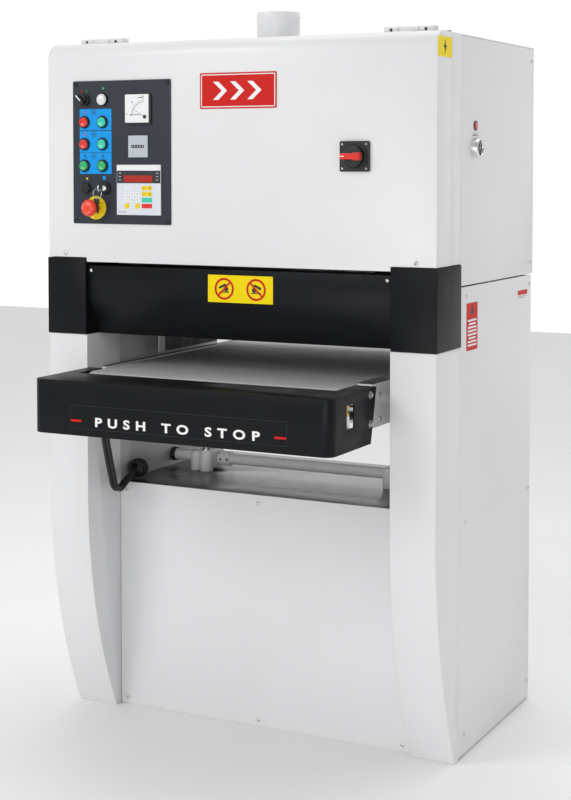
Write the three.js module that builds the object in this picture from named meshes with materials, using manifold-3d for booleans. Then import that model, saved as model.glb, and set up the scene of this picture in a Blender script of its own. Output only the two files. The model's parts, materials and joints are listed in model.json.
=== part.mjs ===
// Floor-standing wide-belt sander: open throat, powered feed table on two jack screws,
// contact drum and tension roller in the head, top-hinged front door with the controls.
// Millimetres, +Z up. The operator stands at -Y. The origin is the middle of the base underside.
import * as THREE from 'three';
import { mergeVertices } from 'three/addons/utils/BufferGeometryUtils.js';
import Module from 'manifold-3d';

const wasm = await Module();
wasm.setup();

// ---- driving dimensions -------------------------------------------------------------------
const GAP = 0.3; // between pieces that touch
const SHEET = 3; // cabinet sheet steel

const HALF_WIDTH = 510.5; // cabinet, over the side panels
const BASE_REAR = 249.5; // base cabinet, front and rear faces
const BASE_FRONT = -BASE_REAR;
const HEAD_REAR = BASE_REAR + 11; // the head overhangs the base at the back
const FAIRING_REACH = 146; // leg fairings and door, in front of the base
const DOOR_FRONT = BASE_FRONT - FAIRING_REACH;
const DOOR_DEPTH = 87;
const DOOR_REAR = DOOR_FRONT + DOOR_DEPTH;

const COLUMN_INNER = 400.5; // half width of the throat
const DECK_TOP = 567; // deck plate below the feed table
const SEAM_Z = 1088; // joint between the lower and the upper side panels
const HEAD_TOP = 1658;
const DOOR_BOTTOM = 1129; // between the corner caps
const CAP_BOTTOM = 952;
const CAP_TOP = 1138;

const BELT_TOP = 873; // working surface of the feed belt
const WORK_HALF = 317.5; // half the 635 mm working width
const FEED_X = [-345, 317.5]; // the feed belt is a little wider at the control side
const FEED_ROLLER_R = 35;
const FEED_BELT_THICK = 3;
const FEED_CLEAR = 0.6; // belt to roller
const FEED_AXIS_Z = BELT_TOP - FEED_BELT_THICK - FEED_CLEAR - FEED_ROLLER_R;
const FEED_FRONT_Y = -455.5;
const FEED_REAR_Y = 311.5;
const TABLE_HALF = 358.5; // over the table's side plates
const TABLE_SIDE = 4;
const TABLE_BOTTOM = 752; // underside of the beam that the jack screws carry

const BAR_X = [-386, 374]; // emergency stop bar, over its cheeks
const BAR_FRONT = -640.5;
const BAR_REAR = DOOR_FRONT - 12;
const BAR_LIP_REAR = -508;
const BAR_TOP = 874;
const BAR_BOTTOM = 750.5;
const BAR_SHEET = 4;
const BAR_ROUND = 24; // upright corners at the front

const DRUM_R = 75;
const DRUM_Z = 1008;
const DRUM_HALF = 320;
const DRUM_SHAFT_R = 20;
const TENSION_R = 50;
const TENSION_Z = 1569.5; // gives the 1524 mm (60 in) sanding belt its length
const PRESSURE_R = 22;
const PRESSURE_Y = 125; // pressure rollers, in front of and behind the drum
const PRESSURE_Z = 952;

const PULLEY_X = [440, 480]; // plane of the V-belt drive, inside the right column
const DRUM_PULLEY_R = 55;
const MOTOR_PULLEY_R = 75;
const MOTOR_Z = 150;
const MOTOR_R = 110;
const DRIVE_BELT_THICK = 10;

const JACK_X = 273;
const JACK_Y = -35.5;
const JACK_R = 9;
const CROSS_SHAFT_Y = 2.5;
const CROSS_SHAFT_Z = 597;
const CROSS_SHAFT_R = 14;

const PORT_Y = -155.5; // dust port
const PORT_R = 52.5;
const PORT_WALL = 2.5;
const PORT_TOP = 1733;
const CHUTE_TOP = HEAD_TOP - 10;
const CHUTE_SHEET = 2;

const HINGE_Z = HEAD_TOP + 8.5; // axis of the door hinges
const HINGE_Y = DOOR_REAR + 1.5;
const HINGE_R = 8;
const HINGE_HALF = 60; // half the length of one hinge
const HINGE_X = 408.5;

const PANEL_FACE = -3.3; // front of the control plate, from the door's face
const BUTTON_COLUMNS = [-402, -350];
const BUTTON_ROWS = { lamp: 1521, upper: 1467, middle: 1414, lower: 1362, key: 1308 };
const ESTOP = { x: -369.5, z: 1261 };
const KEY_X = BUTTON_COLUMNS[1] + 7;
const BEZEL_R = 15;
const BUTTON_R = 11.6;
const BEZEL_BORE = 12.3;

const ISOLATOR = { x: 316.5, z: 1383 };
const GAUGE = { y: -166, z: 1403 }; // air pressure for the belt tension
const POWER_ENTRY = { x: 470, z: 488 };

// ---- geometry helpers -----------------------------------------------------------------------
const AXES = {
  x: new THREE.Matrix4().makeRotationZ(-Math.PI / 2),
  y: new THREE.Matrix4(),
  z: new THREE.Matrix4().makeRotationX(Math.PI / 2),
};

function box([x0, x1], [y0, y1], [z0, z1]) {
  const block = new THREE.BoxGeometry(x1 - x0, y1 - y0, z1 - z0);
  return block.translate((x0 + x1) / 2, (y0 + y1) / 2, (z0 + z1) / 2);
}

// A round bar along one axis, from one end to the other; centre gives the two other coordinates.
function rod(axis, radius, [from, to], centre, sides = 16) {
  const bar = new THREE.CylinderGeometry(radius, radius, to - from, sides);
  bar.applyMatrix4(AXES[axis]);
  const middle = (from + to) / 2;
  const [a, b] = centre;
  const place = { x: [middle, a, b], y: [a, middle, b], z: [a, b, middle] }[axis];
  return bar.translate(...place);
}

// An outline in the (y, z) plane, extruded along X.
function alongX(shape, [from, to], curveSegments = 12) {
  const options = { depth: to - from, bevelEnabled: false, curveSegments };
  const made = new THREE.ExtrudeGeometry(shape, options);
  const basis = new THREE.Matrix4().makeBasis(
    new THREE.Vector3(0, 1, 0), new THREE.Vector3(0, 0, 1), new THREE.Vector3(1, 0, 0));
  return made.applyMatrix4(basis).translate(from, 0, 0);
}

// An outline in the (x, y) plane, extruded along Z.
function alongZ(shape, [from, to], curveSegments = 6) {
  const options = { depth: to - from, bevelEnabled: false, curveSegments };
  return new THREE.ExtrudeGeometry(shape, options).translate(0, 0, from);
}

// A stretch of X at the left (side -1) or at the right (side 1) of the middle.
function across(side, inner, outer) {
  return side < 0 ? [-outer, -inner] : [inner, outer];
}

const bothSides = (make) => [-1, 1].map(make);

function outline(points) {
  return new THREE.Shape(points.map(([a, b]) => new THREE.Vector2(a, b)));
}

function asSolid(geometry) {
  const bare = geometry.clone();
  bare.deleteAttribute('normal');
  bare.deleteAttribute('uv');
  const merged = mergeVertices(bare, 1e-3);
  return new wasm.Manifold(new wasm.Mesh({
    numProp: 3,
    vertProperties: merged.attributes.position.array,
    triVerts: new Uint32Array(merged.index.array),
  }));
}

function asGeometry(solid) {
  const { numProp, vertProperties, triVerts } = solid.getMesh();
  const position = new Float32Array((vertProperties.length / numProp) * 3);
  for (let i = 0; i < position.length / 3; i++) {
    position.set(vertProperties.subarray(i * numProp, i * numProp + 3), i * 3);
  }
  const made = new THREE.BufferGeometry();
  made.setAttribute('position', new THREE.BufferAttribute(position, 3));
  made.setIndex(new THREE.BufferAttribute(triVerts, 1));
  return made;
}

function join(...pieces) {
  return asGeometry(pieces.map(asSolid).reduce((whole, piece) => whole.add(piece)));
}

function cut(base, ...tools) {
  return asGeometry(tools.map(asSolid).reduce((rest, tool) => rest.subtract(tool), asSolid(base)));
}

// A path around a lower and an upper round, one above the other, as a belt runs.
function aroundTwo(path, y, lower, upper) {
  const lean = Math.asin((lower.r - upper.r) / (upper.z - lower.z));
  path.absarc(y, lower.z, lower.r, Math.PI - lean, 2 * Math.PI + lean, false);
  path.absarc(y, upper.z, upper.r, lean, Math.PI - lean, false);
  return path.closePath();
}

function beltLoop(y, lower, upper, clear, thickness) {
  const grown = (round, by) => ({ z: round.z, r: round.r + by });
  const outside = clear + thickness;
  const shape = aroundTwo(new THREE.Shape(), y, grown(lower, outside), grown(upper, outside));
  shape.holes.push(aroundTwo(new THREE.Path(), y, grown(lower, clear), grown(upper, clear)));
  return shape;
}

// ---- materials --------------------------------------------------------------------------------
const FINISHES = {
  white_paint: [0xe6e7e7, 0.35, 0.0],
  black_paint: [0x24272a, 0.35, 0.0],
  slate_paint: [0x363d45, 0.5, 0.0],
  frame_paint: [0x9a9c9c, 0.5, 0.0],
  steel: [0xb8bcc0, 0.3, 0.9],
  dark_steel: [0x5c5e60, 0.4, 0.8],
  chrome: [0xd8dadc, 0.1, 1.0],
  rubber: [0x202122, 0.8, 0.0],
  feed_belt: [0xa6a8a8, 0.8, 0.0],
  abrasive: [0x7a4a32, 0.95, 0.0],
  motor_paint: [0x4b5a68, 0.5, 0.0],
  red_plastic: [0xd8281e, 0.35, 0.0],
  green_plastic: [0x24b38a, 0.35, 0.0],
  black_plastic: [0x18191a, 0.45, 0.0],
  white_plastic: [0xe9ebec, 0.4, 0.0],
};

function part(name, finish, geometry, position = [0, 0, 0]) {
  const [color, roughness, metalness] = FINISHES[finish];
  const material = new THREE.MeshStandardMaterial({ color, roughness, metalness });
  const mesh = new THREE.Mesh(geometry, material);
  mesh.name = name;
  mesh.position.set(...position);
  mesh.geometry.computeVertexNormals();
  return mesh;
}

function group(...children) {
  const made = new THREE.Group();
  made.add(...children);
  return made;
}

// ---- base: cabinet, columns, panels, fairings ---------------------------------------------------
const FLOOR_PLATE = 6;
const LIP = 40; // folded front edge of the floor and of the deck
const COLUMN_TOP = SEAM_Z - 2;
const WEB = 4; // inner wall of a column

function baseCabinet() {
  const half = COLUMN_INNER - GAP;
  const front = BASE_FRONT + SHEET + GAP;
  const floor = box([-half, half], [front, BASE_REAR], [0, FLOOR_PLATE]);
  const floorLip = box([-half, half], [front, front + SHEET], [0, LIP]);
  const rear = box([-half, half], [BASE_REAR - SHEET, BASE_REAR], [0, DECK_TOP]);
  const deck = box([-half, half], [front, BASE_REAR], [DECK_TOP - 4, DECK_TOP]);
  const deckLip = box([-half, half], [front, front + SHEET], [DECK_TOP - LIP, DECK_TOP]);
  const throughDeck = [DECK_TOP - 10, DECK_TOP + 10];
  const holes = [-JACK_X, JACK_X].map((x) => rod('z', JACK_R + 4, throughDeck, [x, JACK_Y]));
  return cut(join(floor, floorLip, rear, deck, deckLip), ...holes);
}

// One column: a channel open to the outside, which the side panel closes.
function column(side) {
  const width = across(side, COLUMN_INNER, HALF_WIDTH - SHEET - GAP);
  const depth = [BASE_FRONT, BASE_REAR];
  const height = [0, COLUMN_TOP];
  const web = box(across(side, COLUMN_INNER, COLUMN_INNER + WEB), depth, height);
  const front = box(width, [BASE_FRONT, BASE_FRONT + SHEET], height);
  const rear = box(width, [BASE_REAR - SHEET, BASE_REAR], height);
  const foot = box(width, depth, [0, FLOOR_PLATE]);
  const head = box(width, depth, [COLUMN_TOP - FLOOR_PLATE, COLUMN_TOP]);
  return join(web, front, rear, foot, head);
}

function rightColumn() {
  const through = [COLUMN_INNER - 10, COLUMN_INNER + 14];
  const drumHole = rod('x', 32, through, [0, DRUM_Z]);
  const motorHole = rod('x', 30, through, [0, MOTOR_Z]);
  const shaftHole = rod('x', CROSS_SHAFT_R + 2, through, [CROSS_SHAFT_Y, CROSS_SHAFT_Z]);
  return cut(column(1), drumHole, motorHole, shaftHole);
}

function leftColumn() {
  const through = [-COLUMN_INNER - 14, -COLUMN_INNER + 10];
  return cut(column(-1), rod('x', CABLE_R + 4, through, [CABLE_END.y, CABLE_END.z], 12));
}

function sidePanel(side, height, rear) {
  return box(across(side, HALF_WIDTH - SHEET, HALF_WIDTH), [BASE_FRONT, rear], height);
}

// Side outline of a leg fairing: upright to CURVE_TOP, then a long arc back to the toe.
const CURVE_TOP = 560;
const TOE_BACK = 123; // how far back the toe is, at the floor

function fairingOutline(inset) {
  const radius = (CURVE_TOP ** 2 + TOE_BACK ** 2) / (2 * TOE_BACK);
  const sweep = Math.asin(CURVE_TOP / radius) * (1 - inset / CURVE_TOP);
  const front = DOOR_FRONT + inset;
  const rear = BASE_FRONT - GAP + (inset ? 10 : 0);
  const top = CAP_BOTTOM - GAP - inset;
  const shape = new THREE.Shape();
  shape.moveTo(rear, top);
  shape.lineTo(front, top);
  shape.absarc(front + radius, CURVE_TOP, radius, Math.PI, Math.PI + sweep, false);
  shape.lineTo(rear, inset);
  return shape.closePath();
}

function legFairing(side) {
  const inside = across(side, COLUMN_INNER + SHEET, HALF_WIDTH - SHEET);
  const skin = alongX(fairingOutline(0), across(side, COLUMN_INNER, HALF_WIDTH), 14);
  return cut(skin, alongX(fairingOutline(SHEET), inside, 14));
}

function cornerCap(side) {
  const proud = 2.5;
  const [inner, outer] = [COLUMN_INNER + 2, HALF_WIDTH + proud];
  const face = DOOR_FRONT - proud;
  const skin = box(across(side, inner, outer), [face, BASE_FRONT - GAP], [CAP_BOTTOM, CAP_TOP]);
  const hollow = box(across(side, inner + SHEET, outer - SHEET),
    [face + SHEET, BASE_FRONT + 10], [CAP_BOTTOM + SHEET, CAP_TOP - SHEET]);
  return cut(skin, hollow);
}

// Bent cover over the mouth of the throat: upright above, sloping back to its lower edge.
function frontHood() {
  const [face, heel] = [DOOR_FRONT + 6, DOOR_FRONT + 53];
  const [top, bend, lip] = [1120, 1035, 951];
  const [roof, floor] = [face + 70, heel + 45]; // how far the two folds reach back
  const t = SHEET;
  const shape = outline([
    [face, top], [face, bend], [heel, lip], [floor, lip], [floor, lip + t],
    [heel + t, lip + t], [face + t, bend + 1], [face + t, top - t], [roof, top - t], [roof, top],
  ]);
  return alongX(shape, [-COLUMN_INNER, COLUMN_INNER]);
}

// ---- head: cabinet, beam, dust extraction, sanding unit -------------------------------------------
const SILL_Z = 1140;
const APRON_BOTTOM = 955; // the back sheet also closes the top of the throat

function headCabinet() {
  const inner = HALF_WIDTH - SHEET;
  const width = [-HALF_WIDTH, HALF_WIDTH];
  const back = [HEAD_REAR - SHEET, HEAD_REAR];
  const strip = [DOOR_REAR + GAP, BASE_FRONT - GAP]; // between the door and the side panels
  const height = [SILL_Z, HEAD_TOP];
  const roof = box(width, [strip[0], HEAD_REAR], [HEAD_TOP - SHEET, HEAD_TOP]);
  const rear = box(width, back, [SEAM_Z + 2, HEAD_TOP]);
  const apron = box([-COLUMN_INNER, COLUMN_INNER], back, [APRON_BOTTOM, SEAM_Z + 10]);
  const cheeks = bothSides((side) => box(across(side, inner, HALF_WIDTH), strip, height));
  const sill = box(width, strip, [SILL_Z, SILL_Z + SHEET]);
  const posts = bothSides((side) => box(across(side, inner - 30, inner),
    [BASE_FRONT - 6, BASE_FRONT - GAP], height));
  const header = box([-inner, inner], [strip[0], strip[0] + SHEET], [HEAD_TOP - 34, HEAD_TOP]);
  const portHole = rod('z', PORT_R + 1, [HEAD_TOP - 20, HEAD_TOP + 20], [0, PORT_Y], 24);
  return cut(join(roof, rear, apron, ...cheeks, sill, ...posts, header), portHole);
}

// The beam that carries the drum; it lies inside the sanding belt's loop.
const BEAM_HALF = 40;
const BEAM_Z = [1100, 1200];
const BEARING_X = [338, 363];
const BEAM_END = 500; // it is bolted down on the right column
const CYLINDER_TOP = 1400;

function headBeam() {
  const beam = box([-BEARING_X[1], BEAM_END], [-BEAM_HALF, BEAM_HALF], BEAM_Z);
  const foot = box([COLUMN_INNER + 5, BEAM_END], [-90, 90], [COLUMN_TOP + GAP, BEAM_Z[0] + 1]);
  const plates = bothSides((side) => box(
    across(side, ...BEARING_X), [-55, 55], [PRESSURE_Z - 2, BEAM_Z[0] + 1]));
  const bearings = rod('x', DRUM_SHAFT_R + 0.6, [-BEARING_X[1] - 5, BEARING_X[1] + 5], [0, DRUM_Z]);
  const cylinder = rod('z', 32, [BEAM_Z[1] - 1, CYLINDER_TOP], [0, 0]);
  const rodBore = rod('z', 10.6, [1300, CYLINDER_TOP + 5], [0, 0]);
  return cut(join(beam, foot, ...plates, cylinder), bearings, rodBore);
}

function lockBlock() {
  return box([-BEAM_END, -BEARING_X[1] - GAP], [-BEAM_HALF, BEAM_HALF], [COLUMN_TOP + GAP, BEAM_Z[1]]);
}

function contactDrum() {
  const face = rod('x', DRUM_R, [-DRUM_HALF, DRUM_HALF], [0, DRUM_Z], 32);
  const shaft = rod('x', DRUM_SHAFT_R, [-372, PULLEY_X[1] + 6], [0, DRUM_Z]);
  const pulley = rod('x', DRUM_PULLEY_R, PULLEY_X, [0, DRUM_Z], 24);
  return join(face, shaft, pulley);
}

function tensionRoller() {
  const face = rod('x', TENSION_R, [-DRUM_HALF, DRUM_HALF], [0, TENSION_Z], 24);
  const shaft = rod('x', 12, [-345, 345], [0, TENSION_Z]);
  return join(face, shaft);
}

function tensionYoke() {
  const [inner, outer] = [323, 335];
  const [bottom, top] = [1455, 1495];
  const bar = box([-outer, outer], [-18, 18], [bottom, top]);
  const arms = bothSides((side) => box(
    across(side, inner, outer), [-22, 22], [bottom, TENSION_Z + 22]));
  const rodDown = rod('z', 10, [CYLINDER_TOP - 70, bottom + 1], [0, 0]);
  const bores = rod('x', 12.6, [-outer - 5, outer + 5], [0, TENSION_Z]);
  return cut(join(bar, ...arms, rodDown), bores);
}

function sandingBelt() {
  const loop = beltLoop(0, { z: DRUM_Z, r: DRUM_R }, { z: TENSION_Z, r: TENSION_R }, 0.6, 1.2);
  return alongX(loop, [-WORK_HALF, WORK_HALF], 10);
}

const portBore = () => rod('z', PORT_R - PORT_WALL, [CHUTE_TOP - 8, PORT_TOP + 5], [0, PORT_Y], 24);

// Flat duct in front of the sanding belt, open at the bottom.
function dustChute() {
  const [half, bottom] = [280, 1030];
  const [front, rear] = [PORT_Y - 55, -98];
  const t = CHUTE_SHEET;
  const skin = box([-half, half], [front, rear], [bottom, CHUTE_TOP]);
  const duct = box([t - half, half - t], [front + t, rear - t], [bottom - 10, CHUTE_TOP - t]);
  return cut(skin, duct, portBore());
}

function dustPort() {
  const tube = rod('z', PORT_R, [CHUTE_TOP + GAP, PORT_TOP], [0, PORT_Y], 24);
  const flange = rod('z', 68, [HEAD_TOP + GAP, HEAD_TOP + 4], [0, PORT_Y], 24);
  return cut(join(tube, flange), portBore());
}

// Sprung beam that holds one pressure roller down on the work; its ends slide in the columns.
function pressureBeam(y) {
  const half = COLUMN_INNER - 0.7;
  const beam = box([-half, half], [y - 20, y + 20], [985, 1012]);
  const ends = bothSides((side) => box(
    across(side, 325, 337), [y - 15, y + 15], [PRESSURE_Z - 13, 990]));
  const bores = rod('x', 8.6, [-342, 342], [y, PRESSURE_Z]);
  return cut(join(beam, ...ends), bores);
}

function pressureRoller(y) {
  const face = rod('x', PRESSURE_R, [-315, 315], [y, PRESSURE_Z]);
  const shaft = rod('x', 8, [-342, 342], [y, PRESSURE_Z]);
  return join(face, shaft);
}

// ---- drive -----------------------------------------------------------------------------------------
const MOTOR_X = [70, 380];

function driveMotor() {
  const body = rod('x', MOTOR_R, MOTOR_X, [0, MOTOR_Z], 24);
  const cowl = rod('x', MOTOR_R - 8, [MOTOR_X[0] - 45, MOTOR_X[0] + 1], [0, MOTOR_Z], 24);
  const feet = box([MOTOR_X[0] + 50, MOTOR_X[1] - 50], [-100, 100], [FLOOR_PLATE + GAP, 70]);
  const terminals = box([180, 290], [-45, 45], [MOTOR_Z + 80, MOTOR_Z + MOTOR_R + 30]);
  return join(body, cowl, feet, terminals);
}

function motorPulley() {
  const pulley = rod('x', MOTOR_PULLEY_R, PULLEY_X, [0, MOTOR_Z], 24);
  const shaft = rod('x', 19, [MOTOR_X[1] + GAP, PULLEY_X[1] + 6], [0, MOTOR_Z]);
  return join(pulley, shaft);
}

function driveBelt() {
  const motor = { z: MOTOR_Z, r: MOTOR_PULLEY_R };
  const drum = { z: DRUM_Z, r: DRUM_PULLEY_R };
  const loop = beltLoop(0, motor, drum, 0.8, DRIVE_BELT_THICK);
  return alongX(loop, PULLEY_X, 8);
}

// ---- feed table --------------------------------------------------------------------------------------
const PLATE_BOTTOM = 777; // side plates
const PLATE_TOP = 876;

function tableFrame() {
  const inner = TABLE_HALF - TABLE_SIDE;
  const [front, rear] = [FEED_FRONT_Y - 20, FEED_REAR_Y + 20];
  const step = BAR_REAR + 13; // the side plates are lower under the stop bar's lip
  const side = outline([
    [front, PLATE_BOTTOM], [rear, PLATE_BOTTOM], [rear, PLATE_TOP],
    [step, PLATE_TOP], [step, PLATE_TOP - 10], [front, PLATE_TOP - 10],
  ]);
  const plates = bothSides((hand) => alongX(side, across(hand, inner, TABLE_HALF)));
  const bed = box([-inner - 1, inner + 1], [FEED_FRONT_Y + 42, FEED_REAR_Y - 42], [858, BELT_TOP - 4.2]);
  const guards = [[-inner - 1, FEED_X[0] - 3], [FEED_X[1] + 3, inner + 1]].map(
    (x) => box(x, [step, rear], [860, PLATE_TOP]));
  const beam = box([-TABLE_HALF, TABLE_HALF], [-120, 50], [TABLE_BOTTOM, PLATE_BOTTOM + 15]);
  const ties = [-330, 200].map(
    (y) => box([-inner - 1, inner + 1], [y - 15, y + 15], [PLATE_BOTTOM, PLATE_BOTTOM + 15]));
  const bores = [FEED_FRONT_Y, FEED_REAR_Y].map(
    (y) => rod('x', 12.6, [-TABLE_HALF - 5, TABLE_HALF + 5], [y, FEED_AXIS_Z]));
  return cut(join(...plates, bed, ...guards, beam, ...ties), ...bores);
}

function feedBelt() {
  const loopPath = (path, r) => {
    path.absarc(FEED_FRONT_Y, FEED_AXIS_Z, r, Math.PI / 2, 1.5 * Math.PI, false);
    path.absarc(FEED_REAR_Y, FEED_AXIS_Z, r, -Math.PI / 2, Math.PI / 2, false);
    return path.closePath();
  };
  const inner = FEED_ROLLER_R + FEED_CLEAR;
  const shape = loopPath(new THREE.Shape(), inner + FEED_BELT_THICK);
  shape.holes.push(loopPath(new THREE.Path(), inner));
  return alongX(shape, FEED_X, 8);
}

function feedRoller(y) {
  const face = rod('x', FEED_ROLLER_R, [FEED_X[0] - 0.5, FEED_X[1] + 0.5], [y, FEED_AXIS_Z], 24);
  const shaft = rod('x', 12, [-TABLE_HALF - 3.5, TABLE_HALF + 3.5], [y, FEED_AXIS_Z]);
  return join(face, shaft);
}

function feedGearmotor() {
  const gearbox = box([363, 445], [FEED_REAR_Y - 45, FEED_REAR_Y + 46], [790, 880]);
  const motor = rod('z', 45, [600, 791], [410, FEED_REAR_Y], 20);
  return join(gearbox, motor);
}

function jackScrew(x) {
  const screw = rod('z', JACK_R, [430, TABLE_BOTTOM - GAP], [x, JACK_Y]);
  const flange = rod('z', 30, [TABLE_BOTTOM - 10, TABLE_BOTTOM - GAP], [x, JACK_Y]);
  return join(screw, flange);
}

// Nut post and guide post on the deck, with the worm housing behind them.
function jackGearbox(x) {
  const nutPost = rod('z', 17, [DECK_TOP + GAP, 622], [x, JACK_Y]);
  const guidePost = rod('z', 13.5, [DECK_TOP + GAP, 618], [x - 31, JACK_Y]);
  const web = box([x - 31, x], [JACK_Y, JACK_Y + 8], [575, 612]);
  const wormBox = box([x - 16, x + 18], [JACK_Y, 24], [575, 619]);
  const screwBore = rod('z', JACK_R + 0.8, [560, 630], [x, JACK_Y]);
  const shaftBore = rod('x', CROSS_SHAFT_R + 0.8, [x - 20, x + 22], [CROSS_SHAFT_Y, CROSS_SHAFT_Z]);
  return cut(join(nutPost, guidePost, web, wormBox), screwBore, shaftBore);
}

function crossShaft() {
  const centre = [CROSS_SHAFT_Y, CROSS_SHAFT_Z];
  const shaft = rod('x', CROSS_SHAFT_R, [-396, 436], centre);
  const wallRing = rod('x', 18, [-396, -384], centre);
  const collars = [-JACK_X, JACK_X].map((x) => rod('x', 19, [x + 24, x + 54], centre));
  return join(shaft, wallRing, ...collars);
}

// Plan of the stop bar: square at the back, with both front corners rounded.
function barPlan(inset, rear) {
  const r = BAR_ROUND - inset;
  const [left, right, front] = [BAR_X[0] + inset, BAR_X[1] - inset, BAR_FRONT + inset];
  const plan = new THREE.Shape();
  plan.moveTo(right, rear);
  plan.lineTo(left, rear);
  plan.absarc(left + r, front + r, r, Math.PI, 1.5 * Math.PI, false);
  plan.absarc(right - r, front + r, r, -Math.PI / 2, 0, false);
  return plan.closePath();
}

// The bar that stops the machine when it is pushed: a folded tray around the front of the table.
function stopBar() {
  const beyond = [BAR_X[0] - 5, BAR_X[1] + 5];
  const block = alongZ(barPlan(0, BAR_REAR), [BAR_BOTTOM, BAR_TOP]);
  const hollow = alongZ(barPlan(BAR_SHEET, BAR_REAR + 10), [BAR_BOTTOM - 10, BAR_TOP - BAR_SHEET]);
  const tableGap = box([FEED_X[0] - 4.5, FEED_X[1] + 4.5], [BAR_LIP_REAR, BAR_REAR + 10],
    [BAR_BOTTOM, BAR_TOP + 10]);
  const slant = alongX(outline([
    [BAR_REAR + 1, BAR_TOP + 1], [BAR_REAR - 29, BAR_BOTTOM - 1], [BAR_REAR + 1, BAR_BOTTOM - 1],
  ]), beyond);
  const slot = box(beyond, [-563, -526], [800, 851]);
  return cut(block, hollow, tableGap, slant, slot);
}

// Cable from the stop bar's switch to the left column: down from the table, then up into the wall.
const CABLE_END = { y: -196, z: 594 };
const CABLE_R = 7;
const CABLE_ROUTE = [
  [-353, -402, 768], [-352, -401, 742], [-351, -396, 716], [-352, -388, 688], [-354, -377, 660],
  [-356, -366, 632], [-357, -355, 605], [-359, -344, 579], [-360, -333, 567], [-361, -320, 562],
  [-362, -308, 564], [-363, -290, 573], [-365, -268, 582], [-368, -244, 589], [-373, -222, 593],
  [-383, -204, 594], [-396, -196, 594], [-412, -196, 594],
];

function stopCable() {
  const curve = new THREE.CatmullRomCurve3(CABLE_ROUTE.map((point) => new THREE.Vector3(...point)));
  const section = new THREE.Shape().absarc(0, 0, CABLE_R, 0, 2 * Math.PI, false);
  return new THREE.ExtrudeGeometry(section, { steps: 26, curveSegments: 4, extrudePath: curve });
}

// ---- doors and hinges ------------------------------------------------------------------------------
const DOOR_ROUND = 36; // top front edge

function doorOutline(inset, rear) {
  const r = DOOR_ROUND - inset;
  const shape = new THREE.Shape();
  shape.moveTo(rear, DOOR_BOTTOM + inset);
  shape.lineTo(rear, HEAD_TOP - inset);
  shape.absarc(DOOR_FRONT + inset + r, HEAD_TOP - inset - r, r, Math.PI / 2, Math.PI, false);
  shape.lineTo(DOOR_FRONT + inset, DOOR_BOTTOM + inset);
  return shape.closePath();
}

const KNUCKLE_HALF = 24;
const CAP_CLEAR = CAP_TOP + 1.5; // the door's lower corners, above the caps

function frontDoor() {
  const inside = [-HALF_WIDTH + SHEET, HALF_WIDTH - SHEET];
  const skin = alongX(doorOutline(0, DOOR_REAR), [-HALF_WIDTH, HALF_WIDTH], 10);
  const hollow = alongX(doorOutline(SHEET, DOOR_REAR + 10), inside, 10);
  const notches = bothSides((side) => box(across(side, COLUMN_INNER + 1, HALF_WIDTH + 5),
    [DOOR_FRONT - 5, DOOR_REAR + 5], [DOOR_BOTTOM - 5, CAP_CLEAR]));
  const closers = bothSides((side) => box(across(side, COLUMN_INNER, HALF_WIDTH),
    [DOOR_FRONT, DOOR_REAR], [CAP_CLEAR, CAP_CLEAR + SHEET]));
  const knuckles = [-HINGE_X, HINGE_X].flatMap((x) => {
    const width = [x - KNUCKLE_HALF, x + KNUCKLE_HALF];
    return [
      rod('x', HINGE_R, width, [HINGE_Y, HINGE_Z]),
      box(width, [DOOR_REAR - 40, DOOR_REAR - 5], [HEAD_TOP - 1, HEAD_TOP + 3]),
      box(width, [DOOR_REAR - 10, HINGE_Y], [HEAD_TOP + 0.5, HEAD_TOP + 3]),
    ];
  });
  const pins = rod('x', 4.4, [-HINGE_X - 30, HINGE_X + 30], [HINGE_Y, HINGE_Z]);
  return cut(join(cut(skin, hollow, ...notches), ...closers, ...knuckles), pins);
}

// The fixed half of one door hinge, with its pin.
function hinge(x) {
  const end = KNUCKLE_HALF + 1;
  const block = (from, to) => [
    rod('x', HINGE_R, [from, to], [HINGE_Y, HINGE_Z]),
    box([from, to], [HINGE_Y, HINGE_Y + 24], [HEAD_TOP + GAP, HINGE_Z + HINGE_R]),
  ];
  const leaf = box([x - HINGE_HALF, x + HINGE_HALF],
    [HINGE_Y + 12, HINGE_Y + 52], [HEAD_TOP + GAP, HEAD_TOP + 3.5]);
  const pin = rod('x', 3.6, [x - HINGE_HALF + 5, x + HINGE_HALF - 5], [HINGE_Y, HINGE_Z]);
  return join(...block(x - HINGE_HALF, x - end), ...block(x + end, x + HINGE_HALF), leaf, pin);
}

// ---- controls: y is measured from the door's face ------------------------------------------------------
const BUTTONS = [
  ['stop_button_upper', 'red_plastic', BUTTON_COLUMNS[0], BUTTON_ROWS.upper],
  ['start_button_upper', 'green_plastic', BUTTON_COLUMNS[1], BUTTON_ROWS.upper],
  ['stop_button_middle', 'red_plastic', BUTTON_COLUMNS[0], BUTTON_ROWS.middle],
  ['start_button_middle', 'green_plastic', BUTTON_COLUMNS[1], BUTTON_ROWS.middle],
  ['table_up_button', 'green_plastic', BUTTON_COLUMNS[0], BUTTON_ROWS.lower],
  ['table_down_button', 'green_plastic', BUTTON_COLUMNS[1], BUTTON_ROWS.lower],
];

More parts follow.
